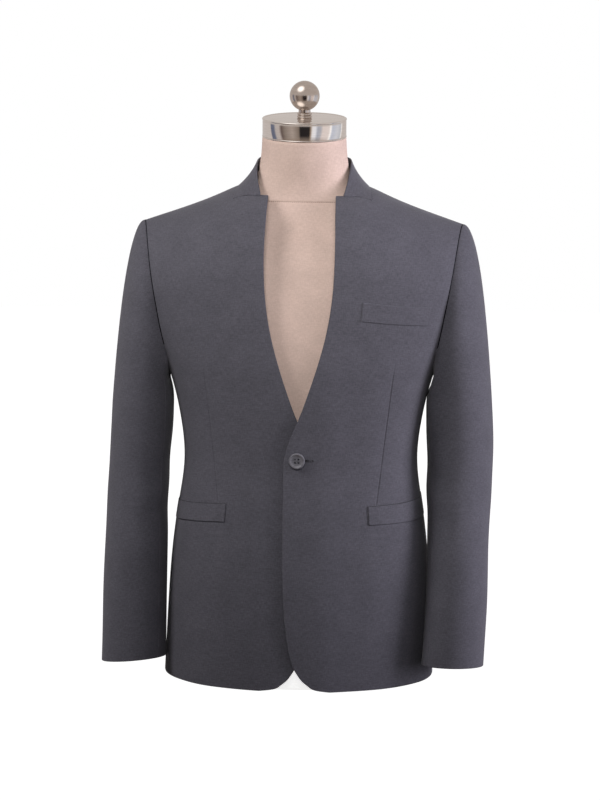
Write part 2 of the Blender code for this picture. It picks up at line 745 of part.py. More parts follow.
def add_form():
    """A limbless torso with a neck, a metal cap and a ball finial, on a flat plinth."""
    plinth = [form_ring(0.0, BASE_EDGE), form_ring(BASE_EDGE), form_ring(BASE_HEIGHT)]
    add_object("form_plinth", ringed_mesh("form_plinth", plinth), "plinth_white")
    levels = chain([BASE_HEIGHT + SEAM_GAP, 0.60, 0.73, NECK_TOP], [FORM_ROWS - 18, 14, 4])
    torso = [form_ring(level) for level in levels]
    add_object("form_torso", ringed_mesh("form_torso", torso), "form_linen")

    axis = np.array([0, -math.sin(NECK_TILT), math.cos(NECK_TILT)])
    seat = np.array([0, float(form["middle"](NECK_TOP)), NECK_TOP]) + CAP_GAP * axis
    rim = CAP_RADIUS - CAP_EDGE
    cap = [(0, 0), (rim, 0), (CAP_RADIUS, CAP_EDGE), (CAP_RADIUS, CAP_HEIGHT - CAP_EDGE), (rim, CAP_HEIGHT)]
    cap.append((0, CAP_HEIGHT))
    add_object("form_neck_cap", turned_mesh("form_neck_cap", cap, 40, seat, NECK_TILT), "cap_metal")

    low = math.asin(STEM_RADIUS / BALL_RADIUS)
    arc = np.linspace(low, math.pi, 11)[:-1]
    finial = [(0, 0), (STEM_FOOT_RADIUS, 0), (STEM_FOOT_RADIUS, STEM_FOOT_HEIGHT)]
    finial.append((STEM_RADIUS, STEM_FOOT_HEIGHT + STEM_STEP))
    finial += [(BALL_RADIUS * math.sin(a), BALL_HEIGHT - BALL_RADIUS * math.cos(a)) for a in arc]
    finial.append((0, BALL_HEIGHT + BALL_RADIUS))
    seat = seat + (CAP_HEIGHT + CAP_GAP) * axis
    mesh = turned_mesh("form_finial", finial, TURNED_SIDES, seat, NECK_TILT)
    add_object("form_finial", mesh, "cap_metal")


def add_materials():
    for name, (colour, roughness, metallic) in MATERIALS.items():
        material = bpy.data.materials.new(name)
        material.use_nodes = True
        shader = material.node_tree.nodes["Principled BSDF"]
        shader.inputs["Base Color"].default_value = (*colour, 1)
        shader.inputs["Roughness"].default_value = roughness
        shader.inputs["Metallic"].default_value = metallic


for old in list(bpy.context.scene.objects):
    bpy.data.objects.remove(old)
add_materials()
add_form()
add_body()
add_sleeves()
add_collar()
add_welt("hip_pocket_left", LEFT_HIP_POCKET, 1, 10)
add_welt("hip_pocket_right", RIGHT_HIP_POCKET, -1, 10)
add_welt("chest_pocket", CHEST_POCKET, 1, 6)
add_button()
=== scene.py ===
"""Looks of a stand collar suit jacket on a dress form: cloth, trims, form, light and camera.

Metres, +Z up. The front faces -Y, and the wearer's left side is at +X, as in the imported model.
"""

import math

import bmesh
import bpy
import numpy as np
from mathutils import Matrix, Vector


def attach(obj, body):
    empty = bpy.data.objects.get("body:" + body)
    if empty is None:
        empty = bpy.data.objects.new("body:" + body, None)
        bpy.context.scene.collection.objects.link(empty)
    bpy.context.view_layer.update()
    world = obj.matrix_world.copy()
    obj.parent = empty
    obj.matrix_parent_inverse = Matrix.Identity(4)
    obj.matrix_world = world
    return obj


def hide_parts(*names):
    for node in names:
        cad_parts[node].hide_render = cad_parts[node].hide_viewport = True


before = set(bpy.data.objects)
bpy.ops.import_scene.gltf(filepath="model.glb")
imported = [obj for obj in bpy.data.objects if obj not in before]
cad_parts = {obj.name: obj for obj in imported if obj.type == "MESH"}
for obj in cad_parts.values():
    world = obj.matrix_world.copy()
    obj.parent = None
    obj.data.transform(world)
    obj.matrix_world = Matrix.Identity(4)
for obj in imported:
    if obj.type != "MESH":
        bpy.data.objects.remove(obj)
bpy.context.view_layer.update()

SIDES = ((1, "left"), (-1, "right"))

# Cloth and seams
CLOTH = 0.002
SEAM_GAP = 0.0004
SEAM_PRESS = 0.0001
SEAM_ROUND = 0.0008
NECK_SEAM_ROUND = 0.0002
EDGE_ROUND = 0.0009
EDGE_TURNS = (36, 72, 108, 144)
SUPPORT = 0.0016
SUPPORT_SHARES = (0.05, 0.5)

# Lift of the over front: how high, from which x to which it fades, and over which levels
OVERLAP_LIFT = 0.0038
OVERLAP_X = (0.030, 0.085)
OVERLAP_LEVELS = (0.420, 0.560)

# Press of the under front: how deep, how far beside the over front's edge, and over which levels it fades
UNDERLAP_DIP = 0.0040
UNDERLAP_BESIDE = (-0.006, 0.030)
UNDERLAP_LEVELS = (0.350, 0.430)

# Sway of the skirt: how high, below which level, between which angles it starts, and where a cuff stills it
SWAY_HEIGHT = 0.0009
SWAY_TOP = 0.22
SWAY_ANGLES = (20, 45)
CUFF_ANGLE = 78
CUFF_ANGLES = 16

# Painted shadow in the armhole seam, a near-black line laid in its ditch: beside the armhole, under the face
# of the cloth, how thick, and how far round
DITCH_ASIDE = 0.0001
DITCH_DEPTH = 0.0004
DITCH_RADIUS = 0.0007
DITCH_SWELL = 2.0
DITCH_SWELL_START = 30
DITCH_END = 130

# Rows of a front along its corner, edge, lapel, gorge and neck, and its columns before and after the dart
FRONT_ROWS = (26, 80, 48, 12, 16)
BEFORE_DART = (28, 7)
AFTER_DART = (7, 20)

# Rows of a back along its seam, armhole and neck, and rows and columns of the other grids
BACK_ROWS = (76, 40, 24)
BACK_COLUMNS = 43
SIDE_ROWS = 87
SIDE_COLUMNS = 17
SLEEVE_ROWS = 73
SLEEVE_CAP_ROWS = 49
TOP_SLEEVE_COLUMNS = 65
UNDER_SLEEVE_COLUMNS = 31
COLLAR_ROWS = 17
COLLAR_COLUMNS = 71
WELT_ROWS = 13
HIP_WELT_CELLS = 64
CHEST_WELT_CELLS = 40

# Body of the jacket
TOP_LEVEL = 0.707
UNDERARM_LEVEL = 0.440
FRONT_ROUNDING = 0.130
BACK_ROUNDING = 0.120
ROUNDNESS = 2.4
ANGLE_STEP = 0.5
LEVEL_STEP = 0.0003
SIDE_SEAM_FRONT = 80.0
SIDE_SEAM_BACK = 106.0
CENTRE_BACK = 180.0
CORNER_TOP = 0.060
LAPEL_FOOT = 0.455
FRONT_ARMHOLE_PAST_CORNER = 4
BACK_ARMHOLE_AT_NECK = 36

# Waist darts: x and level of each end, line and pinch, where they fade, and how the columns close up there
DART_TOP = (0.1350, 0.470)
DART_FOOT = (0.1115, 0.262)
DART_DEPTH = 0.0011
DART_WIDTH = 0.0007
DART_PINCH = 0.0007
DART_PINCH_WIDTH = 0.009
DART_FOOT_FADE = (-0.004, 0.004)
DART_TOP_FADE = (-0.030, 0.002)
DART_ACROSS = 0.65
DART_SHARES = (0.4, 0.8)
DART_REACH = (0.02, 0.01)
DART_CLOSE = (0.965, 0.055)

# Neck of the jacket
NECK_POINT_X = 0.0912
BACK_NECK_REACH = 0.59
GORGE_X = 0.098
GORGE_LEVEL = 0.6935
FRONT_CORNER_X = 0.0475
FRONT_CORNER_LEVEL = 0.6895
COLLAR_END_X = 0.0577
COLLAR_BASE_IN = 0.0001
COLLAR_BASE_DOWN = 0.0012
GORGE_GAP = -0.0009

# Button at the waist, and its buttonhole
BUTTON_LEVEL = 0.331
BUTTON_RADIUS = 0.0113
BUTTON_SHANK = 0.0016
BUTTON_HOLE_RADIUS = 0.0013
BUTTON_HOLE_OFFSET = 0.0024
BUTTON_HOLE_CUT = (0.0018, 0.0080)
BUTTON_FACE = 0.0027
KNOT_RADIUS = 0.0012
BUTTON_THREAD_RADIUS = 0.00015
BUTTON_THREAD_ASIDE = 0.00016
BUTTONHOLE_START = -0.004
BUTTONHOLE_END = 0.0215
SLIT_SHORT = 0.0045
SLIT_LIFT = 0.0001
SLIT_RADIUS = 0.00055
EYELET_PAST = 0.0006
EYELET_RADIUS = 0.00035

# Stitches of the buttonhole: how thick and close, how far out along the slit and the eyelet, and how high
STITCH_RADIUS = 0.00024
STITCH_STEP = 0.00062
EYELET_TURNS = range(-130, 131, 26)
STITCH_REACH = np.array([0.0004, 0.0009, 0.0015, 0.0019])
EYELET_REACH = np.array([0.0009, 0.0013, 0.0018, 0.0022])
STITCH_LIFT = np.array([0.0001, 0.0005, 0.0004, -0.0002])

# Stitches in the seam of the form's neck: how deep, close, long and thick, and how high along each one
NECK_STITCH_INSET = 0.0005
NECK_STITCH_STEP = 0.0030
NECK_STITCH_LENGTH = 0.0019
NECK_STITCH_RADIUS = 0.00030
NECK_STITCH_LIFT = np.array([-0.0004, 0.0003, 0.0003, -0.0004])

# Neck, cap, finial and plinth of the dress form
NECK_TOP = 0.7765
NECK_TILT = math.radians(5.0)
NECK_TILT_START = 0.690
NECK_SEAM = 0.6875
NECK_SEAM_CLEAR = 0.003
NECK_GROOVE = ((-0.0007, 0.0001), (0, 0.0007), (0.0007, 0.0001))
NECK_TOP_INSET = 0.0008
CAP_GAP = 0.0004
CAP_RADIUS = 0.0600
CAP_HEIGHT = 0.0270
BALL_RADIUS = 0.0213
BALL_HEIGHT = 0.0308
BASE_EDGE = 0.006
BASE_HEIGHT = 0.046

# Camera, for an image of 600 x 800
CAMERA_TURN = math.radians(2.6)
CAMERA_DISTANCE = 5.0
CAMERA_HEIGHT = 1.065
CAMERA_AIM = 0.400
CAMERA_ROLL = 0.0105
CAMERA_LENS = 105.63
CAMERA_SENSOR = 24
CAMERA_SHIFT = -0.002


def columns(names, *rows):
    """A table as a dictionary of arrays, one for each named column."""
    return dict(zip(names.split(), np.array(rows, float).T))


# Sections of the jacket on the form, from the hem to the shoulder
BODY = columns(
    "level half_width front back middle",
    (0.000, 0.1934, 0.1370, 0.1310, 0.000),
    (0.100, 0.1890, 0.1350, 0.1340, 0.000),
    (0.190, 0.1830, 0.1310, 0.1270, 0.000),
    (0.255, 0.1745, 0.1265, 0.1170, 0.000),
    (0.315, 0.1670, 0.1225, 0.1090, 0.000),
    (0.372, 0.1718, 0.1250, 0.1115, 0.000),
    (0.440, 0.1880, 0.1310, 0.1180, 0.000),
    (0.500, 0.2090, 0.1330, 0.1225, 0.001),
    (0.560, 0.2230, 0.1320, 0.1240, 0.003),
    (0.630, 0.2335, 0.1300, 0.1240, 0.007),
    (0.707, 0.2400, 0.1280, 0.1200, 0.012),
)

# Line of the shoulder, from the centre to past the sleeve seam
SHOULDER = columns(
    "x height",
    (0.0000, 0.7160),
    (0.0500, 0.7145),
    (0.0912, 0.7068),
    (0.1150, 0.6964),
    (0.1530, 0.6805),
    (0.1880, 0.6680),
    (0.2245, 0.6555),
    (0.2600, 0.6430),
)

# Armhole, turning from the shoulder (0) by the front or by the back to the underarm (180)
ARMHOLE = columns(
    "turn front_angle back_angle",
    (0, 69.0, 69.0),
    (45, 65.2, 68.5),
    (90, 64.4, 69.0),
    (135, 70.0, 72.5),
    (160, 78.5, 79.5),
    (180, 90.0, 90.0),
)
LOWER_ARMHOLE = (135, 180)
ARMHOLE_STEPS = 181

# Front edge from the hem to the top corner: how far each front reaches past the centre line
FRONT_EDGE = columns(
    "level reach",
    (0.0030, -0.0500),
    (0.0046, -0.0370),
    (0.0098, -0.0215),
    (0.0176, -0.0118),
    (0.0248, -0.0058),
    (0.0340, 0.0000),
    (0.0600, 0.0085),
    (0.1000, 0.0145),
    (0.2000, 0.0192),
    (0.3000, 0.0192),
    (0.3420, 0.0160),
    (0.3850, 0.0000),
    (0.4250, -0.0145),
    (0.4700, -0.0290),
    (0.5200, -0.0415),
    (0.5700, -0.0480),
    (0.6200, -0.0495),
    (0.6600, -0.0485),
    (0.6895, -0.0475),
)
FRONT_EDGE_STEPS = 2000

# Height of the hem, round from the centre front to the centre back
HEM = columns(
    "angle level",
    (0, 0.0028),
    (30, 0.0033),
    (60, 0.0053),
    (90, 0.0093),
    (130, 0.0120),
    (180, 0.0120),
)

# Rings of the sleeves, from the cuff to below the underarm, where the inner front is pressed to the body
RIGHT_SLEEVE = columns(
    "level x y half_width half_depth press",
    (0.029, 0.2353, -0.043, 0.0463, 0.0460, 0.000),
    (0.120, 0.2352, -0.028, 0.0455, 0.0520, 0.000),
    (0.200, 0.2350, -0.014, 0.0450, 0.0580, 0.000),
    (0.270, 0.2340, 0.000, 0.0440, 0.0640, 0.000),
    (0.340, 0.2300, 0.007, 0.0445, 0.0690, 0.000),
    (0.395, 0.2280, 0.008, 0.0440, 0.0730, 0.000),
)
LEFT_SLEEVE = columns(
    "level x y half_width half_depth press",
    (0.034, 0.2219, -0.077, 0.0440, 0.0460, 0.000),
    (0.120, 0.2258, -0.058, 0.0435, 0.0520, 0.000),
    (0.200, 0.2272, -0.034, 0.0440, 0.0580, 0.000),
    (0.270, 0.2274, -0.010, 0.0467, 0.0640, 0.000),
    (0.340, 0.2273, 0.005, 0.0484, 0.0690, 0.003),
    (0.395, 0.2257, 0.008, 0.0473, 0.0730, 0.007),
)
RIGHT_CUFF_SLANT = -0.10
LEFT_CUFF_SLANT = 0.0
CUFF_PITCH = 0.077
CUFF_SLANT_END = 0.270
FRONT_SLEEVE_SEAM = 144.0
BACK_SLEEVE_SEAM = 250.0

# How far the sleeve's curve runs on as it leaves the armhole, at each part of the armhole
LEAVES_SHOULDER = (0.0178, 0.000, 0.002)
LEAVES_FRONT = (0.014, -0.014, -0.024)
LEAVES_BACK = (0.020, 0.006, -0.022)
LEAVES_UNDERARM = (0.001, 0.000, -0.015)
UNDERARM_TURNS = (120, 170)
ARM_LEAN = 0.069
ARM_PULL = 0.65

# Edge of the sleeve, and what is turned in under the body: beside the armhole, and under the cloth's face
SLEEVE_ASIDE = 0.75 * SEAM_GAP
SLEEVE_TURN_IN = ((0.0004, 0.0012), (-0.0006, 0.0027), (-0.0030, 0.0032))

# Soft breaks of the sleeves' cloth: level, turn, how tall, how wide round, how high, and how they slant
BREAK_SLANT = 0.00018
SLEEVE_BREAKS = columns(
    "level turn height width rise",
    (0.300, 140, 0.024, 60, -0.0016),
    (0.268, 120, 0.020, 55, 0.0012),
    (0.236, 150, 0.022, 50, -0.0014),
    (0.195, 100, 0.030, 60, 0.0010),
    (0.330, 200, 0.028, 50, -0.0014),
    (0.130, 20, 0.050, 50, 0.0008),
    (0.220, 10, 0.060, 60, -0.0008),
    (0.290, 300, 0.030, 60, -0.0014),
    (0.255, 290, 0.026, 60, 0.0012),
)

# Collar, from its end at the front to the centre back: its top edge, and how far it is hollowed
COLLAR = columns(
    "station x y height hollow",
    (0, 0.0577, -0.0535, 0.6965, 0.0000),
    (1, 0.0625, -0.0340, 0.7150, 0.0010),
    (2, 0.0656, -0.0020, 0.7360, 0.0022),
    (3, 0.0615, 0.0400, 0.7450, 0.0025),
    (4, 0.0380, 0.0700, 0.7460, 0.0020),
    (5, 0.0000, 0.0800, 0.7460, 0.0020),
)
NECK_POINT_STATION = 2
CENTRE_BACK_STATION = 5

# Pocket welts: how high they lie, how far they sink between two angles, and the line that sews an end down
WELT_CLOTH = 0.0017
HIP_WELT = 0.0018
CHEST_WELT = 0.0012
WELT_SINK = 0.0010
WELT_SINK_ANGLES = (60, 80)
END_LINE_DEPTH = 0.0008
END_LINE_INSET = 0.0048
END_LINE_WIDTH = 0.0007
WELT_THREADS = (0.137, 0.071)

# Mouths of the hip pockets: how far in they start, above the welt's edge, off the body, and how thick
MOUTH_INSET = 0.5
MOUTH_STEPS = 49
MOUTH_ABOVE = 0.0003
MOUTH_LIFT = 0.0003
MOUTH_RADIUS = 0.0005

# Each pocket: the angle of each end, and the levels of the upper and lower edge there
LEFT_HIP_POCKET = {"ends": (31.0, 95.0), "upper": (0.2645, 0.2675), "lower": (0.2385, 0.2390)}
RIGHT_HIP_POCKET = {"ends": (31.0, 95.0), "upper": (0.2655, 0.2550), "lower": (0.2400, 0.2290)}
CHEST_POCKET = {"ends": (19.6, 52.5), "upper": (0.5538, 0.5612), "lower": (0.5272, 0.5279)}

# Sections of the dress form, from its base to the top of its neck
FORM = columns(
    "level half_width front back middle",
    (0.0000, 0.1640, 0.1160, 0.1130, 0.000),
    (0.1000, 0.1680, 0.1180, 0.1190, 0.000),
    (0.2000, 0.1600, 0.1150, 0.1110, 0.000),
    (0.3150, 0.1480, 0.1080, 0.0930, 0.000),
    (0.4000, 0.1590, 0.1140, 0.1000, 0.000),
    (0.4700, 0.1740, 0.1200, 0.1070, 0.000),
    (0.5400, 0.1880, 0.1190, 0.1080, 0.003),
    (0.6000, 0.1960, 0.1080, 0.1020, 0.006),
    (0.6350, 0.1960, 0.0890, 0.0900, 0.008),
    (0.6550, 0.1870, 0.0740, 0.0760, 0.009),
    (0.6680, 0.1640, 0.0680, 0.0700, 0.010),
    (0.6800, 0.1320, 0.0640, 0.0660, 0.011),
    (0.6920, 0.1040, 0.0600, 0.0630, 0.011),
    (0.7040, 0.0840, 0.0580, 0.0610, 0.010),
    (0.7180, 0.0700, 0.0580, 0.0600, 0.009),
    (0.7350, 0.0635, 0.0590, 0.0600, 0.007),
    (0.7550, 0.0608, 0.0595, 0.0595, 0.004),
    (0.7765, 0.0596, 0.0592, 0.0592, 0.001),
)
NECK_LEVELS = (0.655, 0.725)
FORM_ROUNDNESS = 2.3
NECK_ROUNDNESS = 2.0
FORM_SIDES = 96


# Curves and surfaces


def spline(knots, values):
    """A smooth curve through the values at the knots, as a function (a natural cubic spline)."""
    step = np.diff(knots)
    rise = np.diff(values) / step
    count = len(knots)
    system = np.eye(count)
    bends = np.zeros(count)
    for i in range(1, count - 1):
        system[i, i - 1 : i + 2] = step[i - 1], 2 * (step[i - 1] + step[i]), step[i]
        bends[i] = 6 * (rise[i] - rise[i - 1])
    bends = np.linalg.solve(system, bends)

    def curve(place):
        place = np.asarray(place, float)
        i = np.clip(np.searchsorted(knots, place) - 1, 0, count - 2)
        low = (knots[i + 1] - place) / step[i]
        high = 1 - low
        bend = ((low**3 - low) * bends[i] + (high**3 - high) * bends[i + 1]) * step[i] ** 2 / 6
        return low * values[i] + high * values[i + 1] + bend

    return curve


def splines(table, key):
    """A curve for every other column of a table, by the column that is the key."""
    return {name: spline(table[key], table[name]) for name in table if name != key}


body = splines(BODY, "level")
shoulder_height = spline(SHOULDER["x"], SHOULDER["height"])
armhole = splines(ARMHOLE, "turn")
front_edge = spline(FRONT_EDGE["level"], FRONT_EDGE["reach"])
hem_level = spline(HEM["angle"], HEM["level"])
collar_edge = splines(COLLAR, "station")
form = splines(FORM, "level")


def smoothstep(place, start, end):
    share = np.clip((place - start) / (end - start), 0, 1)
    return share * share * (3 - 2 * share)


def signed_power(value, power):
    return np.sign(value) * np.abs(value) ** power


def unit(vectors):
    return vectors / np.linalg.norm(vectors, axis=-1, keepdims=True)


def chain(stops, cells):
    """Even steps from stop to stop, with a count of cells for each run."""
    runs = [np.linspace(a, b, n + 1)[1:] for a, b, n in zip(stops, stops[1:], cells)]
    return np.concatenate([[stops[0]], *runs])


def mirrored(points, side):
    """Points of the wearer's left side, or the same ones on the right side."""
    return points * np.array([side, 1, 1])


def rounding(level, distance):
    """Share of its full depth that a section keeps near the shoulder line: a quarter round."""
    share = np.clip((TOP_LEVEL - level) / distance, 0, 1)
    return np.sqrt(1 - (1 - share) ** 2)


def round_level(turn, distance):
    """Level at a turn of the quarter round, from the shoulder line (0) down."""
    return TOP_LEVEL - distance * (1 - np.cos(np.radians(turn)))


def round_turn(level, distance):
    return float(np.degrees(np.arccos(1 - (TOP_LEVEL - level) / distance)))


def body_surface(angle, level):
    """Points on the outer side of the jacket's body, at an angle from the centre front and a level."""
    turn = np.radians(angle)
    x = body["half_width"](level) * signed_power(np.sin(turn), 2 / ROUNDNESS)
    cosine = np.cos(turn)
    front = body["front"](level) * rounding(level, FRONT_ROUNDING)
    back = body["back"](level) * rounding(level, BACK_ROUNDING)
    y = body["middle"](level) - np.where(cosine > 0, front, back) * signed_power(cosine, 2 / ROUNDNESS)
    follow = smoothstep(level, UNDERARM_LEVEL, TOP_LEVEL)
    z = level + follow * (shoulder_height(np.abs(x)) - TOP_LEVEL)
    return np.stack([x, y, z], axis=-1)


def body_normals(angle, level):
    """Unit normals of the jacket's body, facing out."""
    round_it = body_surface(angle + ANGLE_STEP, level) - body_surface(angle - ANGLE_STEP, level)
    top = np.minimum(level + LEVEL_STEP, TOP_LEVEL)
    up_it = body_surface(angle, top) - body_surface(angle, top - 2 * LEVEL_STEP)
    normals = np.cross(round_it, up_it)
    normals[..., 1] *= level < TOP_LEVEL - 1e-6
    return unit(normals)


def angle_at(x, level):
    """Angle from the centre front at which the section at a level has this x."""
    share = np.clip(x / body["half_width"](level), -1, 1)
    return np.degrees(np.arcsin(signed_power(share, ROUNDNESS / 2)))


def armhole_place(turn, behind=False):
    """(angle, level) of a point of the armhole's front or back half."""
    middle = (TOP_LEVEL + UNDERARM_LEVEL) / 2
    level = middle + (TOP_LEVEL - middle) * np.cos(np.radians(turn))
    if behind:
        return 180 - armhole["back_angle"](turn), level
    return armhole["front_angle"](turn), level


def armhole_turn_at(angle, behind=False):
    """Turn at which the lower part of the armhole crosses an angle of the body."""
    turns = np.linspace(*LOWER_ARMHOLE, ARMHOLE_STEPS)
    angles = armhole_place(turns, behind)[0]
    order = np.argsort(angles)
    return float(np.interp(angle, angles[order], turns[order]))


def run_along(points, axis):
    """Lengths along a net of points from its first one, in one direction."""
    steps = np.linalg.norm(np.diff(points, axis=axis), axis=-1)
    return np.concatenate([np.zeros_like(steps.take([0], axis)), steps.cumsum(axis)], axis)


def thread_runs(points):
    """The run of the threads on a grid, across (the same in each row) and up."""
    across = np.broadcast_to(run_along(points, 1).mean(0), points.shape[:2])
    return np.stack([across, run_along(points, 0)], axis=-1)


# A net over half the body, and the lengths along it
NET_ANGLES = np.linspace(-30, 180, 141)
NET_LEVELS = np.linspace(0, TOP_LEVEL, 240)
net = body_surface(*np.meshgrid(NET_ANGLES, NET_LEVELS, indexing="ij"))
net_runs = [run_along(net, axis) for axis in (0, 1)]


def unrolled(angle, level):
    """The run of the threads on the body, across and up, at an angle and a level."""
    cells = len(NET_ANGLES) - 1, len(NET_LEVELS) - 1
    step = np.ptp(NET_ANGLES) / cells[0]
    i = np.clip((angle - NET_ANGLES[0]) / step, 0, cells[0] - 0.001)
    j = np.clip(level / TOP_LEVEL * cells[1], 0, cells[1] - 0.001)
    low_i, low_j = i.astype(int), j.astype(int)
    i, j = i - low_i, j - low_j
    found = []
    for runs in net_runs:
        low = runs[low_i, low_j] * (1 - i) + runs[low_i + 1, low_j] * i
        high = runs[low_i, low_j + 1] * (1 - i) + runs[low_i + 1, low_j + 1] * i
        found.append(low * (1 - j) + high * j)
    return np.stack(found, axis=-1)


# Cloth as closed shells


def grid_normals(points):
    """Unit normals of a grid, facing the side from which its columns run right and its rows run up."""
    return unit(np.cross(np.gradient(points, axis=1), np.gradient(points, axis=0)))


def pressed_out(points, edges):
    """A grid with some of its edges moved out a little, so that sewn edges meet below the seam's groove."""
    points = points.copy()
    turned = {"left": points, "right": points[:, ::-1], "top": points[::-1].swapaxes(0, 1)}
    for edge in edges:
        grid = turned[edge]
        grid[:, 0] -= SEAM_PRESS * unit(grid[:, 1] - grid[:, 0])
    return points


def supported(grid, points):
    """A grid with one more row and column close inside each edge, where the points show the distance."""
    for axis in (0, 1):
        for near, far in ((0, 1), (-1, -2)):
            length = np.linalg.norm(points.take([far], axis) - points.take([near], axis), axis=-1)
            share = np.clip(SUPPORT / np.maximum(length, 1e-6), *SUPPORT_SHARES)[..., None]
            added = []
            for values in (grid, points):
                line = values.take([near], axis) * (1 - share) + values.take([far], axis) * share
                parts = [values.take([0], axis), line, values.take(range(1, values.shape[axis]), axis)]
                if near:
                    parts = [values.take(range(values.shape[axis] - 1), axis), line, values.take([-1], axis)]
                added.append(np.concatenate(parts, axis))
            grid, points = added
    return grid


def shell_mesh(name, outer, normals, uv, thickness, rounds):
    """A closed shell of cloth with rounded edges: its outer grid, and the same points moved in."""
    uv, normals = supported(uv, outer), unit(supported(normals, outer))
    outer = supported(outer, outer)
    lean = np.zeros_like(outer)
    lean[:, 0] += rounds["left"] * unit(outer[:, 0] - outer[:, 1])
    lean[:, -1] += rounds["right"] * unit(outer[:, -1] - outer[:, -2])
    lean[0] += rounds["low"] * unit(outer[0] - outer[1])
    lean[-1] += rounds["top"] * unit(outer[-1] - outer[-2])
    outer = outer - lean
    rows, cols = outer.shape[:2]
    count = rows * cols
    index = np.arange(count).reshape(rows, cols)
    corners = index[:-1, :-1], index[:-1, 1:], index[1:, 1:], index[1:, :-1]
    faces = np.stack(corners, axis=-1).reshape(-1, 4)
    rim = np.concatenate([index[0, :-1], index[:-1, -1], index[-1, :0:-1], index[:0:-1, 0]])
    points, texture = [outer.reshape(-1, 3)], [uv.reshape(-1, 2)]
    points.append(points[0] - thickness * normals.reshape(-1, 3))
    texture.append(texture[0])
    loops = [rim]
    for turn in np.radians(EDGE_TURNS):
        sunk = thickness / 2 * (1 - math.cos(turn)) * normals.reshape(-1, 3)[rim]
        loops.append(np.arange(len(rim)) + sum(len(p) for p in points))
        points.append(points[0][rim] - sunk + math.sin(turn) * lean.reshape(-1, 3)[rim])
        texture.append(texture[0][rim])
    loops.append(rim + count)
    bands = [np.stack([np.roll(a, -1), a, b, np.roll(b, -1)], -1) for a, b in zip(loops, loops[1:])]
    faces = np.concatenate([faces, faces[:, ::-1] + count, *bands])
    points, texture = np.concatenate(points), np.concatenate(texture)
    middle = index[rows // 2, cols // 2]
    a, b, c = points[middle], points[middle + 1], points[middle + cols]
    if np.dot(np.cross(b - a, c - a), normals.reshape(-1, 3)[middle]) < 0:
        faces = faces[:, ::-1]
    mesh = bpy.data.meshes.new(name)
    mesh.from_pydata(points.tolist(), [], faces.tolist())
    mesh.uv_layers.new(name="threads")
    corners = np.zeros(len(mesh.loops), int)
    mesh.loops.foreach_get("vertex_index", corners)
    mesh.uv_layers[0].data.foreach_set("uv", texture[corners].ravel())
    mesh.shade_smooth()
    return mesh


def new_object(name, data):
    """An object in the scene, at the origin."""
    made = bpy.data.objects.new(name, data)
    bpy.context.scene.collection.objects.link(made)
    return made


def finish_piece(piece, slot, *nodes):
    """Fixes a piece to the part and hides the nodes that it stands for; the slot of its finish is not used.
    """
    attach(piece, "root")
    if nodes:
        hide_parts(*nodes)
    return piece


def add_cloth(name, outer, normals, uv, held, rests_on, free=(), side=1, **cut):
    """One panel as a closed shell of cloth; its cut may set a thickness, the round of a seam, or a collar
    row.
    """
    sewn = cut.get("sewn", SEAM_ROUND)
    rounds = {edge: EDGE_ROUND if edge in free else sewn for edge in ("left", "right", "low", "top")}
    if "collar_row" in cut:
        at_collar = np.arange(len(outer) + 2) > cut["collar_row"] + 1
        rounds["left"] = np.where(at_collar, NECK_SEAM_ROUND, EDGE_ROUND)[:, None]
    thickness = cut.get("thickness", CLOTH)
    mesh = shell_mesh(name, mirrored(outer, side), mirrored(normals, side), uv, thickness, rounds)
    mesh.materials.append(bpy.data.materials["suiting"])
    piece = new_object(f"cloth_{name}", mesh)
    finish_piece(piece, "suiting", name)


def alone(piece):
    """Selects one piece only, as the active one."""
    bpy.ops.object.select_all(action="DESELECT")
    piece.select_set(True)
    bpy.context.view_layer.objects.active = piece


def stitches(name, paths, radius, material, swell=1.0):
    """Threads along paths of points, as one mesh of round strands, which may swell along a path."""
    curve = bpy.data.curves.new(name, "CURVE")
    curve.dimensions = "3D"
    curve.bevel_depth = radius
    curve.bevel_resolution = 1
    curve.use_fill_caps = True
    for path in paths:
        strand = curve.splines.new("POLY")
        strand.points.add(len(path) - 1)
        for point, place, width in zip(strand.points, path, np.broadcast_to(swell, len(path))):
            point.co = (*place, 1)
            point.radius = width
    alone(new_object(name, curve))
    bpy.ops.object.convert(target="MESH")
    piece = bpy.context.object
    piece.data.shade_smooth()
    piece.data.materials.append(bpy.data.materials[material])
    return piece


# Panels of the body


def even_levels(low, high, count):
    """Levels along the front edge, at even distances on it."""
    level = np.linspace(low, high, FRONT_EDGE_STEPS)
    run = np.concatenate([[0], np.hypot(np.diff(level), np.diff(front_edge(level))).cumsum()])
    return np.interp(np.linspace(0, run[-1], count + 1), run, level)


def dart_shares(left, right):
    """Where the line of the dart crosses each row of a front, as a share of the row."""
    level = left[1] * (1 - DART_ACROSS) + right[1] * DART_ACROSS
    x = np.interp(level, [DART_FOOT[1], DART_TOP[1]], [DART_FOOT[0], DART_TOP[0]])
    share = (angle_at(x, level) - left[0]) / (right[0] - left[0])
    share = np.clip(share, *DART_SHARES)
    near = (level > DART_FOOT[1] - DART_REACH[0]) & (level < DART_TOP[1] + DART_REACH[1])
    first, last = np.flatnonzero(near)[[0, -1]]
    share[:first] = share[first]
    share[last + 1 :] = share[last]
    return share


def joined(*runs):
    """One edge of a panel as its angles and its levels, from runs of both."""
    return [np.concatenate(values) for values in zip(*(np.broadcast_arrays(*run) for run in runs))]


def between(left, right, share):
    """Grid of angles and levels between two edges, at shares of the way across."""
    return [a[:, None] * (1 - share) + b[:, None] * share for a, b in zip(left, right)]


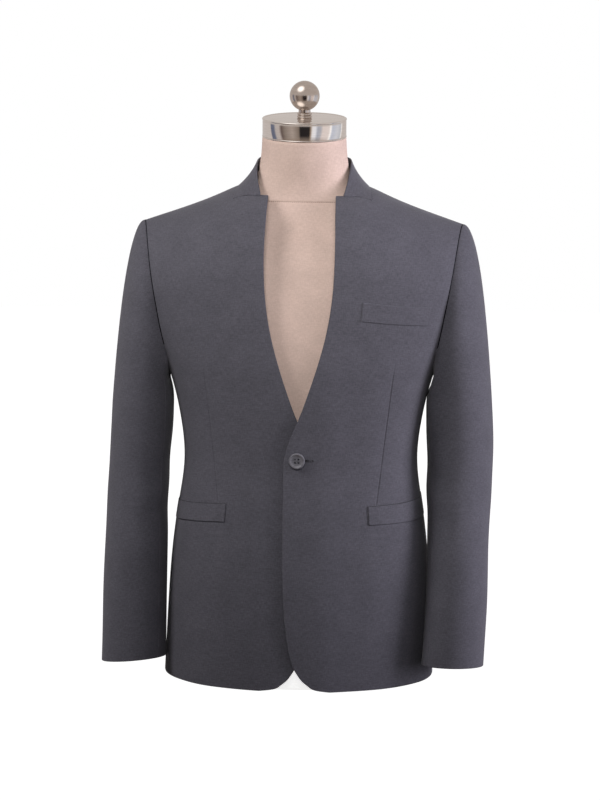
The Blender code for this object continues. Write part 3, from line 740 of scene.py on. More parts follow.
def front_places():
    """Grid of a front, its columns drawn together along the dart; the dart's column; the corner's row."""
    corner_rows, edge_rows, lapel_rows, gorge_rows, neck_rows = FRONT_ROWS
    corner_turn = round_turn(FRONT_CORNER_LEVEL, FRONT_ROUNDING)
    gorge_turn = round_turn(GORGE_LEVEL, FRONT_ROUNDING)
    corner = even_levels(FRONT_EDGE["level"][0], CORNER_TOP, corner_rows)
    edge = chain([CORNER_TOP, LAPEL_FOOT, FRONT_CORNER_LEVEL], [edge_rows, lapel_rows])
    edge_level = np.concatenate([corner, edge[1:]])
    neck_turn = chain([corner_turn, gorge_turn, 0], [gorge_rows, neck_rows])[1:]
    neck_x = chain([FRONT_CORNER_X, GORGE_X, NECK_POINT_X], [gorge_rows, neck_rows])[1:]
    neck = neck_x, round_level(neck_turn, FRONT_ROUNDING)
    x, level = joined((-front_edge(edge_level), edge_level), neck)
    left = angle_at(x, level), level

    joint = armhole_turn_at(SIDE_SEAM_FRONT)
    seam = [hem_level(SIDE_SEAM_FRONT), CORNER_TOP, armhole_place(joint)[1]]
    seam_level = chain(seam, [corner_rows, edge_rows])
    stops = [joint, corner_turn + FRONT_ARMHOLE_PAST_CORNER, gorge_turn, 0]
    turn = chain(stops, [lapel_rows, gorge_rows, neck_rows])[1:]
    right = joined((SIDE_SEAM_FRONT, seam_level), armhole_place(turn))

    before = chain([0, DART_CLOSE[0], 1], BEFORE_DART)
    after = chain([0, DART_CLOSE[1], 1], AFTER_DART)
    dart = dart_shares(left, right)[:, None]
    share = np.concatenate([dart * before, dart + (1 - dart) * after[1:]], axis=1)
    return between(left, right, share), len(before) - 1, len(edge_level) - 1


def dart_sink(points, level, column):
    """How far the cloth of a front lies in along the sewn line of its dart."""
    away = np.linalg.norm(points - points[:, column : column + 1], axis=-1)
    line = DART_DEPTH * np.exp(-((away / DART_WIDTH) ** 2))
    line = line + DART_PINCH * np.exp(-((away / DART_PINCH_WIDTH) ** 2))
    above_foot = smoothstep(level - DART_FOOT[1], *DART_FOOT_FADE)
    return line * above_foot * (1 - smoothstep(level - DART_TOP[1], *DART_TOP_FADE))


def overlap_lift(angle, level):
    """How far the over front stands off, so that it lies on the under front below the crossing."""
    beside = 1 - smoothstep(body_surface(angle, level)[..., 0], *OVERLAP_X)
    return OVERLAP_LIFT * beside * (1 - smoothstep(level, *OVERLAP_LEVELS))


def underlap_dip(angle, level):
    """How far the under front is pressed in below the edge of the over front."""
    past_edge = body_surface(angle, level)[..., 0] - front_edge(level)
    beside = 1 - smoothstep(past_edge, *UNDERLAP_BESIDE)
    return UNDERLAP_DIP * beside * (1 - smoothstep(level, *UNDERLAP_LEVELS))


def back_neck_place(turn):
    """(angle, level) on the back half of the neck edge, from the centre back (0) to the shoulder (90)."""
    reach = BACK_NECK_REACH * np.cos(np.radians(turn))
    level = round_level(np.degrees(np.arcsin(reach)), BACK_ROUNDING)
    return 180 - angle_at(NECK_POINT_X * np.sin(np.radians(turn)), level), level


def back_places():
    """Grid of a back, between the centre back seam and neck and its side seam and armhole."""
    seam_rows, arm_rows, neck_rows = BACK_ROWS
    neck_angle, neck_level = back_neck_place(chain([0, 90], [neck_rows]))
    joint = armhole_turn_at(SIDE_SEAM_BACK, behind=True)
    joint_level = armhole_place(joint, behind=True)[1]
    level = chain([hem_level(CENTRE_BACK), joint_level, neck_level[0]], [seam_rows, arm_rows])
    left = joined((CENTRE_BACK, level), (neck_angle[1:], neck_level[1:]))
    seam_level = chain([hem_level(SIDE_SEAM_BACK), joint_level], [seam_rows])
    turn = chain([joint, BACK_ARMHOLE_AT_NECK, 0], [arm_rows, neck_rows])[1:]
    right = joined((SIDE_SEAM_BACK, seam_level), armhole_place(turn, behind=True))
    return between(left, right, np.linspace(0, 1, BACK_COLUMNS)[None, :])


def side_places():
    """Grid of a side panel, from the hem to the lower part of the armhole."""
    angle = np.linspace(SIDE_SEAM_FRONT, SIDE_SEAM_BACK, SIDE_COLUMNS)
    top = [armhole_place(armhole_turn_at(a, a > 90), a > 90)[1] for a in angle]
    share = np.linspace(0, 1, SIDE_ROWS)[:, None]
    level = hem_level(angle) * (1 - share) + np.array(top) * share
    return [np.broadcast_to(angle, level.shape), level]


def skirt_sway(angle, level, side):
    """Soft flutes of the cloth below the waist, which hangs free there."""
    turn = np.radians(angle)
    flutes = np.sin(5 * turn + 0.8 * side) + 0.6 * np.sin(9 * turn + 2.1)
    beside_cuff = 1 - 0.7 * np.exp(-(((angle - CUFF_ANGLE) / CUFF_ANGLES) ** 2))
    below = 1 - smoothstep(level, 0, SWAY_TOP)
    return SWAY_HEIGHT * flutes * beside_cuff * below * smoothstep(angle, *SWAY_ANGLES)


def add_body():
    """The two fronts, sides and backs. The wearer's left front lies over the right one."""
    fronts, dart_column, corner_row = front_places()
    panels = (
        ("front", fronts, ("right", "top"), ("left", "low"), {"collar_row": corner_row}),
        ("side", side_places(), ("left", "right", "top"), ("low",), {}),
        ("back", back_places(), ("left", "right", "top"), ("low",), {}),
    )
    for side, hand in SIDES:
        for piece, places, edges, free, cut in panels:
            points, normals = body_surface(*places), body_normals(*places)
            lift = skirt_sway(*places, side)
            if piece == "front":
                lift = lift - dart_sink(points, places[1], dart_column)
                lift = lift + (overlap_lift(*places) if hand == "left" else -underlap_dip(*places))
            outer = pressed_out(points + lift[..., None] * normals, edges)
            name, uv = f"{piece}_{hand}", unrolled(*places)
            add_cloth(name, outer, normals, uv, "draped", ["form_torso"], free, side, **cut)


# Sleeves


def armhole_ring(turn, aside, depth):
    """Points beside the armhole of the body and under its face, all the way round (90 is the front)."""
    turn = turn % 360
    behind = turn > 180
    half = np.where(behind, 360 - turn, turn)
    angle = np.where(behind, armhole_place(half, True)[0], armhole_place(half)[0])
    level = armhole_place(half)[1]
    across = unit(body_surface(angle + ANGLE_STEP, level) - body_surface(angle - ANGLE_STEP, level))
    across = across * np.where(behind, -1, 1)[:, None]
    under = smoothstep(half, *UNDERARM_TURNS)[:, None]
    away = unit(across * (1 - under) + np.array([1.0, 0, 0]) * under)
    return body_surface(angle, level) + aside * away - depth * body_normals(angle, level)


def inner_front(turn):
    """Share of the pressing in at a turn of the sleeve: all halfway from its front to its inner side."""
    turn = np.asarray(turn) % 360
    return np.where((turn > 90) & (turn < 180), np.sin(np.radians(2 * turn)) ** 4, 0)


def sleeve_ring(sleeve, slant, turn, level):
    """Points round the sleeve at a level below the underarm; slant and pitch tip it at the cuff."""
    across, ahead = np.cos(np.radians(turn)), np.sin(np.radians(turn))
    x = sleeve["x"](level) + sleeve["half_width"](level) * across - sleeve["press"](level) * inner_front(turn)
    y = sleeve["y"](level) - sleeve["half_depth"](level) * ahead
    tip = slant * sleeve["half_width"](level) * across + CUFF_PITCH * sleeve["half_depth"](level) * ahead
    return np.stack([x, y, level + tip * (1 - smoothstep(level, 0, CUFF_SLANT_END))], axis=-1)


def sleeve_grid(table, slant, turns):
    """Grid of a sleeve from its cuff to the armhole, at turns from the shoulder by the front."""
    sleeve = splines(table, "level")
    levels = np.linspace(table["level"][0], table["level"][-1], SLEEVE_ROWS)
    arm = [sleeve_ring(sleeve, slant, turns, level) for level in levels]
    start, end = armhole_ring(turns, SLEEVE_ASIDE, 0.0), arm[-1]
    across, ahead = np.cos(np.radians(turns))[:, None], np.sin(np.radians(turns))[:, None]
    leaves = np.maximum(across, 0) * LEAVES_SHOULDER + np.maximum(-across, 0) * LEAVES_UNDERARM
    leaves = leaves + np.maximum(ahead, 0) * LEAVES_FRONT + np.maximum(-ahead, 0) * LEAVES_BACK
    rise = (start - end)[:, 2:]
    lean = np.concatenate([-ARM_LEAN * (1 + across) / 2, 0 * across, np.ones_like(across)], axis=1)
    near, far = start + leaves, end + ARM_PULL * rise * lean
    near[:, 0] -= table["press"][-1] * inner_front(turns)
    cap = []
    for t in np.linspace(1, 0, SLEEVE_CAP_ROWS)[1:]:
        s = 1 - t
        cap.append(s**3 * start + 3 * s * s * t * near + 3 * s * t * t * far + t**3 * end)
    turned_in = [armhole_ring(turns, aside, depth) for aside, depth in SLEEVE_TURN_IN]
    return np.array(arm + cap + turned_in)


def sleeve_breaks(turns, level):
    """Low swells and hollows where the cloth of a sleeve breaks at the elbow."""
    lift = np.zeros_like(level)
    for i in range(len(SLEEVE_BREAKS["level"])):
        fold = {name: values[i] for name, values in SLEEVE_BREAKS.items()}
        round_it = (turns - fold["turn"] + 180) % 360 - 180
        slope = level - fold["level"] - BREAK_SLANT * round_it
        lift += fold["rise"] * np.exp(-((slope / fold["height"]) ** 2) - (round_it / fold["width"]) ** 2)
    return lift


def add_sleeves():
    """Two-piece sleeves: a top sleeve, and an under sleeve between its two seams."""
    top = np.linspace(BACK_SLEEVE_SEAM - 360, FRONT_SLEEVE_SEAM, TOP_SLEEVE_COLUMNS)
    under = np.linspace(FRONT_SLEEVE_SEAM, BACK_SLEEVE_SEAM, UNDER_SLEEVE_COLUMNS)
    ring = np.concatenate([top, under[1:-1]])
    once = slice(len(ring), 2 * len(ring) + 1)
    turns = np.concatenate([ring, ring, ring])
    tables = ((LEFT_SLEEVE, LEFT_CUFF_SLANT), (RIGHT_SLEEVE, RIGHT_CUFF_SLANT))
    for (side, hand), (table, slant) in zip(SIDES, tables):
        whole = sleeve_grid(table, slant, turns)
        whole = whole - sleeve_breaks(turns, whole[..., 2])[..., None] * grid_normals(whole)
        normals = -grid_normals(whole)[:, once]
        points = whole[:, once]
        uv = thread_runs(points)
        hangs = [f"cloth_front_{hand}", f"cloth_back_{hand}"]
        for piece, cut in (("top", slice(0, len(top))), ("under", slice(len(top) - 1, None))):
            name = f"{piece}_sleeve_{hand}"
            outer = pressed_out(points[:, cut], ("left", "right"))
            add_cloth(name, outer, normals[:, cut], uv[:, cut], "hung", hangs, ("low",), side)


def add_armhole_shadow_lines():
    """A painted shadow in each armhole seam: a near-black line between body and sleeve, wider low at the
    front, for the shade in the seam.
    """
    turns = np.linspace(-DITCH_END, DITCH_END, ARMHOLE_STEPS)
    swell = 1 + DITCH_SWELL * smoothstep(turns, DITCH_SWELL_START, DITCH_END)
    points = armhole_ring(turns, DITCH_ASIDE, DITCH_DEPTH * swell[:, None])
    for side, hand in SIDES:
        path = mirrored(points, side)
        # The line is painted shadow: a near-black tube in the seam's ditch, where the shade falls.
        ditch = stitches(f"armhole_shadow_line_{hand}", [path], DITCH_RADIUS, "armhole_painted_shadow", swell)
        finish_piece(ditch, "suiting")


# Collar and pockets


def neck_edge(station):
    """Points of the jacket's neck edge at stations of the collar, on the wearer's left side."""
    share = np.clip(station / NECK_POINT_STATION, 0, 1)
    level = round_level(round_turn(GORGE_LEVEL, FRONT_ROUNDING) * (1 - share), FRONT_ROUNDING)
    ahead = body_surface(angle_at(GORGE_X + share * (NECK_POINT_X - GORGE_X), level), level)
    left = CENTRE_BACK_STATION - NECK_POINT_STATION
    behind = body_surface(*back_neck_place(90 * np.clip((CENTRE_BACK_STATION - station) / left, 0, 1)))
    return np.where((station < NECK_POINT_STATION)[:, None], ahead, behind)


def gorge_line(share):
    """Points along the seam between a front and the end of the collar, from its outer to its inner end."""
    x = GORGE_X + share * (COLLAR_END_X - GORGE_X)
    along = (x - FRONT_CORNER_X) / (GORGE_X - FRONT_CORNER_X)
    corner, gorge = round_turn(FRONT_CORNER_LEVEL, FRONT_ROUNDING), round_turn(GORGE_LEVEL, FRONT_ROUNDING)
    level = round_level(corner + along * (gorge - corner), FRONT_ROUNDING)
    return body_surface(angle_at(x, level), level) + np.array([0, 0, GORGE_GAP])


def add_collar():
    """A standing band, sewn along the neck edge and along a short gorge at each front."""
    rows = np.linspace(0, 1, COLLAR_ROWS)
    half = np.linspace(0, CENTRE_BACK_STATION, COLLAR_COLUMNS)
    top = np.stack([collar_edge[name](half) for name in ("x", "y", "height")], axis=-1)
    base = neck_edge(half)
    inward = unit((top - base) * np.array([1, 1, 0]))
    base = base + COLLAR_BASE_IN * inward - np.array([0, 0, COLLAR_BASE_DOWN])
    share = rows[:, None, None]
    hollow = collar_edge["hollow"](half)[None, :, None] * 4 * share * (1 - share)
    points = base * (1 - share) + top * share + hollow * inward
    points[:, 0] = gorge_line(rows)
    whole = np.concatenate([points, mirrored(points[:, -2::-1], -1)], axis=1)
    normals, uv = -grid_normals(whole), thread_runs(whole)
    rests_on = ["cloth_front_left", "cloth_front_right", "cloth_back_left", "cloth_back_right"]
    add_cloth("collar", whole, normals, uv, "stretched", rests_on, ("top",), sewn=NECK_SEAM_ROUND)


def add_welt(name, pocket, side, cells, rests_on, height, end_line=False):
    """A pocket welt, lying on the body and sunk toward the side; its front end may have a sewn line."""
    angle = np.linspace(*pocket["ends"], cells + 1)[None, :]
    upper, lower = (np.linspace(*pocket[edge], cells + 1)[None, :] for edge in ("upper", "lower"))
    level = lower + (upper - lower) * np.linspace(0, 1, WELT_ROWS)[:, None]
    angle = np.broadcast_to(angle, level.shape)
    points, normals = body_surface(angle, level), body_normals(angle, level)
    height = height - WELT_SINK * smoothstep(angle, *WELT_SINK_ANGLES)
    if end_line:
        away = np.linalg.norm(points - points[:, :1], axis=-1)
        height = height - END_LINE_DEPTH * np.exp(-(((away - END_LINE_INSET) / END_LINE_WIDTH) ** 2))
    outer = points + height[..., None] * normals
    uv = unrolled(angle, level) + WELT_THREADS
    free = ("left", "right", "low", "top")
    add_cloth(name, outer, normals, uv, "laid", rests_on, free, side, thickness=WELT_CLOTH)


def add_pocket_mouth(name, pocket, side):
    """The mouth of a hip pocket: a line of its lining along the upper edge of the welt, dark partly in its
    own colour and partly with painted shade of the opening.
    """
    angle = np.linspace(pocket["ends"][0] + MOUTH_INSET, pocket["ends"][1], MOUTH_STEPS)
    level = np.linspace(*pocket["upper"], MOUTH_STEPS) + MOUTH_ABOVE
    points = body_surface(angle, level) + MOUTH_LIFT * body_normals(angle, level)
    # Its dark is the lining's colour and, in part, painted shade of the pocket's opening.
    mouth = stitches(name, [mirrored(points, side)], MOUTH_RADIUS, "lining_with_painted_shade")
    finish_piece(mouth, "suiting")


def add_pockets():
    """Two hip pockets with welts and mouths darkened partly with painted shade, and a chest pocket with a
    welt.
    """
    hips = [(*side, pocket) for side, pocket in zip(SIDES, (LEFT_HIP_POCKET, RIGHT_HIP_POCKET))]
    for side, hand, pocket in hips:
        name, lies_on = f"hip_pocket_{hand}", [f"cloth_front_{hand}", f"cloth_side_{hand}"]
        add_welt(name, pocket, side, HIP_WELT_CELLS, lies_on, HIP_WELT, end_line=hand == "right")
    for side, hand, pocket in hips:
        add_pocket_mouth(f"hip_pocket_mouth_{hand}", pocket, side)
    add_welt("chest_pocket", CHEST_POCKET, 1, CHEST_WELT_CELLS, ["cloth_front_left"], CHEST_WELT)


# Hard pieces, modelled from a first disc


def set_down(piece, place, tilt):
    """Turns a piece made at the origin to its tilt, sets it in its place, and keeps both in its mesh."""
    alone(piece)
    piece.matrix_world = Matrix.Translation(place) @ Matrix.Rotation(tilt, 4, "X")
    bpy.ops.object.transform_apply(location=True, rotation=True, scale=True)


def start_disc(name, radius, height, sides):
    """A filled disc in edit mode, selected all over."""
    bpy.ops.object.select_all(action="DESELECT")
    bpy.ops.mesh.primitive_circle_add(vertices=sides, radius=radius, fill_type="NGON")
    piece = bpy.context.object
    piece.name = piece.data.name = name
    bpy.ops.object.mode_set(mode="EDIT")
    bpy.ops.transform.translate(value=(0, 0, height))
    return piece


def close_piece(piece, material, angle=35):
    """Leaves edit mode with the faces outward, smooth up to an angle, and gives the material."""
    bpy.ops.mesh.select_all(action="SELECT")
    bpy.ops.mesh.normals_make_consistent(inside=False)
    bpy.ops.object.mode_set(mode="OBJECT")
    alone(piece)
    bpy.ops.object.shade_smooth_by_angle(angle=math.radians(angle))
    piece.data.materials.append(bpy.data.materials[material])
    return piece


def turned_piece(name, profile, sides, material, angle=35):
    """A turned piece: a disc, extruded and resized along rows of (radius, height)."""
    piece = start_disc(name, profile[0][0], profile[0][1], sides)
    for (near, low), (far, high) in zip(profile, profile[1:]):
        bpy.ops.mesh.extrude_region_move(TRANSFORM_OT_translate={"value": (0, 0, high - low)})
        bpy.ops.transform.resize(value=(far / near, far / near, 1), center_override=(0, 0, high))
    return close_piece(piece, material, angle)


def arc_rows(centre, radius, start, end, count):
    """Rows of a round in a profile: (radius, height) at even turns from +radius (0) to +height (90)."""
    turns = np.radians(np.linspace(start, end, count + 1))
    return [(float(centre[0] + radius * math.cos(t)), float(centre[1] + radius * math.sin(t))) for t in turns]


def form_ring(level, inset=0.0):
    """Points round the dress form at a level; the rings of its neck tip forward."""
    turn = np.linspace(0, 2 * math.pi, FORM_SIDES, endpoint=False)
    neck = smoothstep(level, *NECK_LEVELS)
    power = 2 / (FORM_ROUNDNESS + neck * (NECK_ROUNDNESS - FORM_ROUNDNESS))
    x = (form["half_width"](level) - inset) * signed_power(np.sin(turn), power)
    cosine = np.cos(turn)
    depth = np.where(cosine > 0, form["front"](level), form["back"](level)) - inset
    depth = -depth * signed_power(cosine, power)
    tip = math.tan(NECK_TILT) * smoothstep(level, NECK_TILT_START, NECK_TOP)
    return np.stack([x, form["middle"](level) + depth, level + tip * depth], axis=-1)


def ringed_piece(name, rows, material):
    """A piece with the form's sections: a disc, extruded ring by ring, each ring fitted to its section."""
    piece = start_disc(name, 0.1, rows[0][0], FORM_SIDES)
    for i, (level, inset) in enumerate(rows):
        if i:
            rise = (0, 0, level - rows[i - 1][0])
            bpy.ops.mesh.extrude_region_move(TRANSFORM_OT_translate={"value": rise})
        net = bmesh.from_edit_mesh(piece.data)
        ring = [v for v in net.verts if v.select]
        ring.sort(key=lambda v: math.atan2(v.co.x, -v.co.y) % (2 * math.pi - 1e-4))
        for v, place in zip(ring, form_ring(level, inset)):
            v.co = place
        bmesh.update_edit_mesh(piece.data)
    return close_piece(piece, material, 45)


def add_form():
    """A limbless torso with a seam at the base of its neck, a metal cap and a ball finial, on a plinth."""
    plinth = [(0.0, BASE_EDGE), (0.0015, BASE_EDGE / 2), (BASE_EDGE, 0.0), (BASE_HEIGHT, 0.0)]
    # The plinth's finish glows a little: painted light, so that it looks white though the skirts shade it.
    finish_piece(ringed_piece("stand_plinth", plinth, "plinth_white"), "plinth_white", "form_plinth")
    torso = chain([BASE_HEIGHT + SEAM_GAP, 0.60, NECK_SEAM - NECK_SEAM_CLEAR], [30, 18])
    neck = chain([NECK_SEAM + NECK_SEAM_CLEAR, 0.73, NECK_TOP - 0.001, NECK_TOP], [10, 12, 1])
    rows = [(float(level), 0.0) for level in (*torso, *neck)]
    rows = sorted(rows + [(NECK_SEAM + above, inset) for above, inset in NECK_GROOVE])
    rows[-1] = (NECK_TOP, NECK_TOP_INSET)
    finish_piece(ringed_piece("form_cover", rows, "form_linen"), "form_linen", "form_torso")

    axis = np.array([0, -math.sin(NECK_TILT), math.cos(NECK_TILT)])
    seat = np.array([0, float(form["middle"](NECK_TOP)), NECK_TOP]) + CAP_GAP * axis
    r, h = CAP_RADIUS, CAP_HEIGHT
    cap = [(r - 0.0012, 0)] + arc_rows((r - 0.0010, 0.0010), 0.0010, -60, 80, 6)
    cap += [(r - 0.0005, 0.0026), (r - 0.0005, h - 0.0034)]
    cap += arc_rows((r - 0.0012, h - 0.0014), 0.0013, -70, 95, 7)
    cap += [(r - 0.0030, h - 0.0003), (r - 0.0036, h - 0.0008)]
    cap += [(r - 0.0060, h - 0.0006), (0.030, h - 0.0002)]
    piece = turned_piece("neck_cap", cap, 128, "cap_metal", 30)
    set_down(piece, seat, NECK_TILT)
    finish_piece(piece, "cap_metal", "form_neck_cap")

    seat = seat + (CAP_HEIGHT - 0.0004) * axis
    finial = [(0.0096, 0.0)] + arc_rows((0.0092, 0.0022), 0.0016, -60, 70, 6)
    finial += [(0.0090, 0.0042)] + arc_rows((0.0090, 0.0062), 0.0016, -60, 70, 6)
    finial += [(0.0086, 0.0086), (0.0084, 0.0112)]
    low = math.degrees(math.asin(0.0084 / BALL_RADIUS)) - 90
    finial += arc_rows((0.0, BALL_HEIGHT + 0.0008), BALL_RADIUS, low, 88, 26)
    piece = turned_piece("ball_finial", finial, 64, "ball_metal", 40)
    set_down(piece, seat, NECK_TILT)
    finish_piece(piece, "cap_metal", "form_finial")


# Button, buttonhole and stitches


def button_seat():
    """Point and tilt at which the button sits on the over front."""
    angle, level = np.array([0.0]), np.array([BUTTON_LEVEL])
    normal = body_normals(angle, level)[0]
    place = body_surface(angle, level)[0] + (overlap_lift(angle, level)[0] + SEAM_GAP) * normal
    return place, math.atan2(-normal[1], normal[2])


def add_button():
    """A four-hole button with a broad round rim, a dished face and crossed threads."""
    place, tilt = button_seat()
    r, s = BUTTON_RADIUS, BUTTON_SHANK
    profile = [(0.0032, 0.0), (0.0032, s), (r - 0.0026, s)]
    profile += arc_rows((r - 0.0015, s + 0.0015), 0.0015, -80, 0, 5)
    profile += arc_rows((r - 0.0016, s + 0.0026), 0.0016, 0, 95, 8)
    profile += [(r - 0.0026, s + 0.0038), (r - 0.0036, s + 0.0030)]
    profile += [(r - 0.0046, s + 0.0027), (0.0020, s + 0.0026)]
    button = turned_piece("waist_button", profile, 72, "button_horn", 60)
    corners = BUTTON_HOLE_OFFSET * np.array([(1, 1), (-1, 1), (-1, -1), (1, -1)])
    through = [(BUTTON_HOLE_RADIUS, height) for height in BUTTON_HOLE_CUT]
    for x, up in corners:
        hole = turned_piece("hole", through, 20, "button_horn")
        hole.data.transform(Matrix.Translation((x, up, 0)))
        alone(button)
        cut = button.modifiers.new("hole", "BOOLEAN")
        cut.object = hole
        bpy.ops.object.modifier_apply(modifier="hole")
        bpy.data.objects.remove(hole)
    alone(button)
    bpy.ops.object.shade_smooth_by_angle(angle=math.radians(40))
    set_down(button, place, tilt)
    finish_piece(button, "button_horn", "button")

    # Thread ends in the holes, near black: the thread, painted dark with the shade down in the holes.
    knots = [np.array([(x, up, s + 0.0003), (x, up, s + 0.0010)]) for x, up in corners]
    knots = stitches("button_knots", knots, KNOT_RADIUS, "thread_and_slit_painted_shade")
    face = s + BUTTON_FACE
    strands = []
    for slant in (1, -1):
        for aside in (-BUTTON_THREAD_ASIDE, BUTTON_THREAD_ASIDE):
            share = np.linspace(-1, 1, 9)
            along = share * 1.02 * BUTTON_HOLE_OFFSET
            rise = face + 0.0003 * (1 - share**4) + (0.0002 if slant > 0 else 0)
            strand = np.stack([along + aside * slant * 0.7, slant * along - aside * 0.7, rise], axis=-1)
            strand[[0, -1], 2] = face - 0.0014
            strands.append(strand)
    threads = stitches("button_threads", strands, BUTTON_THREAD_RADIUS, "button_thread")
    for piece in (knots, threads):
        set_down(piece, place, tilt)
        finish_piece(piece, "suiting")


def over_front(x, level, lift):
    """Points on the over front at places across and up, a lift above the cloth."""
    x, level = np.broadcast_arrays(np.asarray(x, float), np.asarray(level, float))
    angle = angle_at(x, level)
    height = overlap_lift(angle, level) + lift
    return body_surface(angle, level) + height[..., None] * body_normals(angle, level)


def add_buttonhole():
    """A keyhole buttonhole: its slit as a near-black line of painted shade, and close stitches round its
    edge.
    """
    eyelet_x = BUTTONHOLE_END + EYELET_PAST
    slit_x = np.linspace(BUTTONHOLE_START, BUTTONHOLE_END - SLIT_SHORT, 14)
    slit = over_front(slit_x, BUTTON_LEVEL, SLIT_LIFT)
    turn = np.linspace(0, 2 * math.pi, 13)
    across, up = EYELET_RADIUS * np.cos(turn), EYELET_RADIUS * np.sin(turn)
    eyelet = over_front(eyelet_x + across, BUTTON_LEVEL + up, SLIT_LIFT)
    # The slit is painted shade: a near-black tube where the gap is shaded.
    gap = stitches("buttonhole_painted_shade", [slit, eyelet], SLIT_RADIUS, "thread_and_slit_painted_shade")
    finish_piece(gap, "suiting")
    paths = []
    for x in np.arange(BUTTONHOLE_START, BUTTONHOLE_END - 0.0004, STITCH_STEP):
        for way in (-1, 1):
            paths.append(over_front(x, BUTTON_LEVEL + way * STITCH_REACH, STITCH_LIFT))
    for turn in np.radians(EYELET_TURNS):
        across, up = EYELET_REACH * math.cos(turn), EYELET_REACH * math.sin(turn)
        paths.append(over_front(eyelet_x + across, BUTTON_LEVEL + up, STITCH_LIFT))
    finish_piece(stitches("buttonhole_stitches", paths, STITCH_RADIUS, "cloth_thread"), "suiting")


def add_neck_stitches():
    """A line of running stitches in the seam at the base of the form's neck."""
    ring = form_ring(NECK_SEAM, NECK_STITCH_INSET)
    ring = np.concatenate([ring, ring[:1]])
    run = run_along(ring, 0)
    paths = []
    for start in np.arange(0, run[-1], NECK_STITCH_STEP):
        along = start + np.linspace(0, NECK_STITCH_LENGTH, len(NECK_STITCH_LIFT))
        stitch = np.stack([np.interp(along % run[-1], run, ring[:, axis]) for axis in range(3)], axis=-1)
        outward = unit(stitch * np.array([1, 1, 0]))
        paths.append(stitch + NECK_STITCH_LIFT[:, None] * outward)
    finish_piece(stitches("neck_seam_stitches", paths, NECK_STITCH_RADIUS, "linen_thread"), "form_linen")


# Finishes


def node(tree, kind, inputs=None, **settings):
    """A shader node with settings, and inputs that are values or other nodes' outputs."""
    made = tree.nodes.new("ShaderNode" + kind)
    for name, value in settings.items():
        setattr(made, name, value)
    for name, value in (inputs or {}).items():
        if isinstance(value, bpy.types.NodeSocket):
            tree.links.new(value, made.inputs[name])
        else:
            made.inputs[name].default_value = value
    return made


def maths(tree, operation, *values):
    return node(tree, "Math", dict(enumerate(values)), operation=operation).outputs[0]


def ranged(tree, value, start, end, low=0.0, high=1.0):
    """A value that goes from low to high as another one goes from start to end."""
    inputs = {"Value": value, "From Min": start, "From Max": end, "To Min": low, "To Max": high}
    return node(tree, "MapRange", inputs).outputs["Result"]


def colour_ramp(tree, factor, stops):
    """A colour by a factor, through stops of a place and a colour."""
    made = node(tree, "ValToRGB", {"Fac": factor})
    elements = made.color_ramp.elements
    for i, (place, colour) in enumerate(stops):
        element = elements[i] if i < 2 else elements.new(place)
        element.position = place
        element.color = (*colour, 1)
    return made.outputs["Color"]


def relief(tree, height, strength):
    inputs = {"Strength": strength, "Distance": RELIEF_DEPTH, "Height": height}
    return node(tree, "Bump", inputs).outputs["Normal"]


def plain_weave():
    """Shader group: threads over and under, with slubs along the warp and the weft."""
    group = bpy.data.node_groups.new("plain weave", "ShaderNodeTree")
    for name, kind in (("Threads", "Vector"), ("Pitch", "Float"), ("Slub length", "Float")):
        group.interface.new_socket(name, in_out="INPUT", socket_type="NodeSocket" + kind)
    for name in ("Slubs", "Mottle", "Height"):
        group.interface.new_socket(name, in_out="OUTPUT", socket_type="NodeSocketFloat")
    given = group.nodes.new("NodeGroupInput").outputs
    put_out = group.nodes.new("NodeGroupOutput").inputs
    place = node(group, "SeparateXYZ", {"Vector": given["Threads"]})
    across, up = place.outputs["X"], place.outputs["Y"]
    turns = maths(group, "DIVIDE", math.pi, given["Pitch"])
    waves = [maths(group, "SINE", maths(group, "MULTIPLY", way, turns)) for way in (across, up)]
    fine = maths(group, "DIVIDE", 0.45, given["Pitch"])
    coarse = maths(group, "DIVIDE", 1.0, given["Slub length"])
    slubs = []
    for shift, (x_scale, y_scale) in enumerate(((fine, coarse), (coarse, fine))):
        x, y = maths(group, "MULTIPLY", across, x_scale), maths(group, "MULTIPLY", up, y_scale)
        drawn = node(group, "CombineXYZ", {"X": x, "Y": y, "Z": 3.7 * shift}).outputs["Vector"]
        noise = node(group, "TexNoise", {"Vector": drawn, "Scale": 1.0, "Detail": 2.0, "Roughness": 0.6})
        slubs.append(noise.outputs["Fac"])
    mixed = maths(group, "MULTIPLY", maths(group, "ADD", *slubs), 0.5)
    mottle = node(group, "TexNoise", {"Vector": given["Threads"], "Scale": 26.0, "Detail": 3.0})
    over = maths(group, "MULTIPLY", *waves)
    height = maths(group, "ADD", maths(group, "MULTIPLY", over, 0.5), mixed)
    for name, value in (("Slubs", mixed), ("Mottle", mottle.outputs["Fac"]), ("Height", height)):
        group.links.new(value, put_out[name])
    return group


def start_finish(name):
    """The empty node tree of a material."""
    material = bpy.data.materials.get(name) or bpy.data.materials.new(name)
    material.use_nodes = True
    material.node_tree.nodes.clear()
    return material.node_tree


def end_finish(tree, inputs):
    """The shader of a material, with plain values set on its sockets or other nodes' outputs."""
    shader = node(tree, "BsdfPrincipled", inputs)
    node(tree, "OutputMaterial", {"Surface": shader.outputs["BSDF"]})


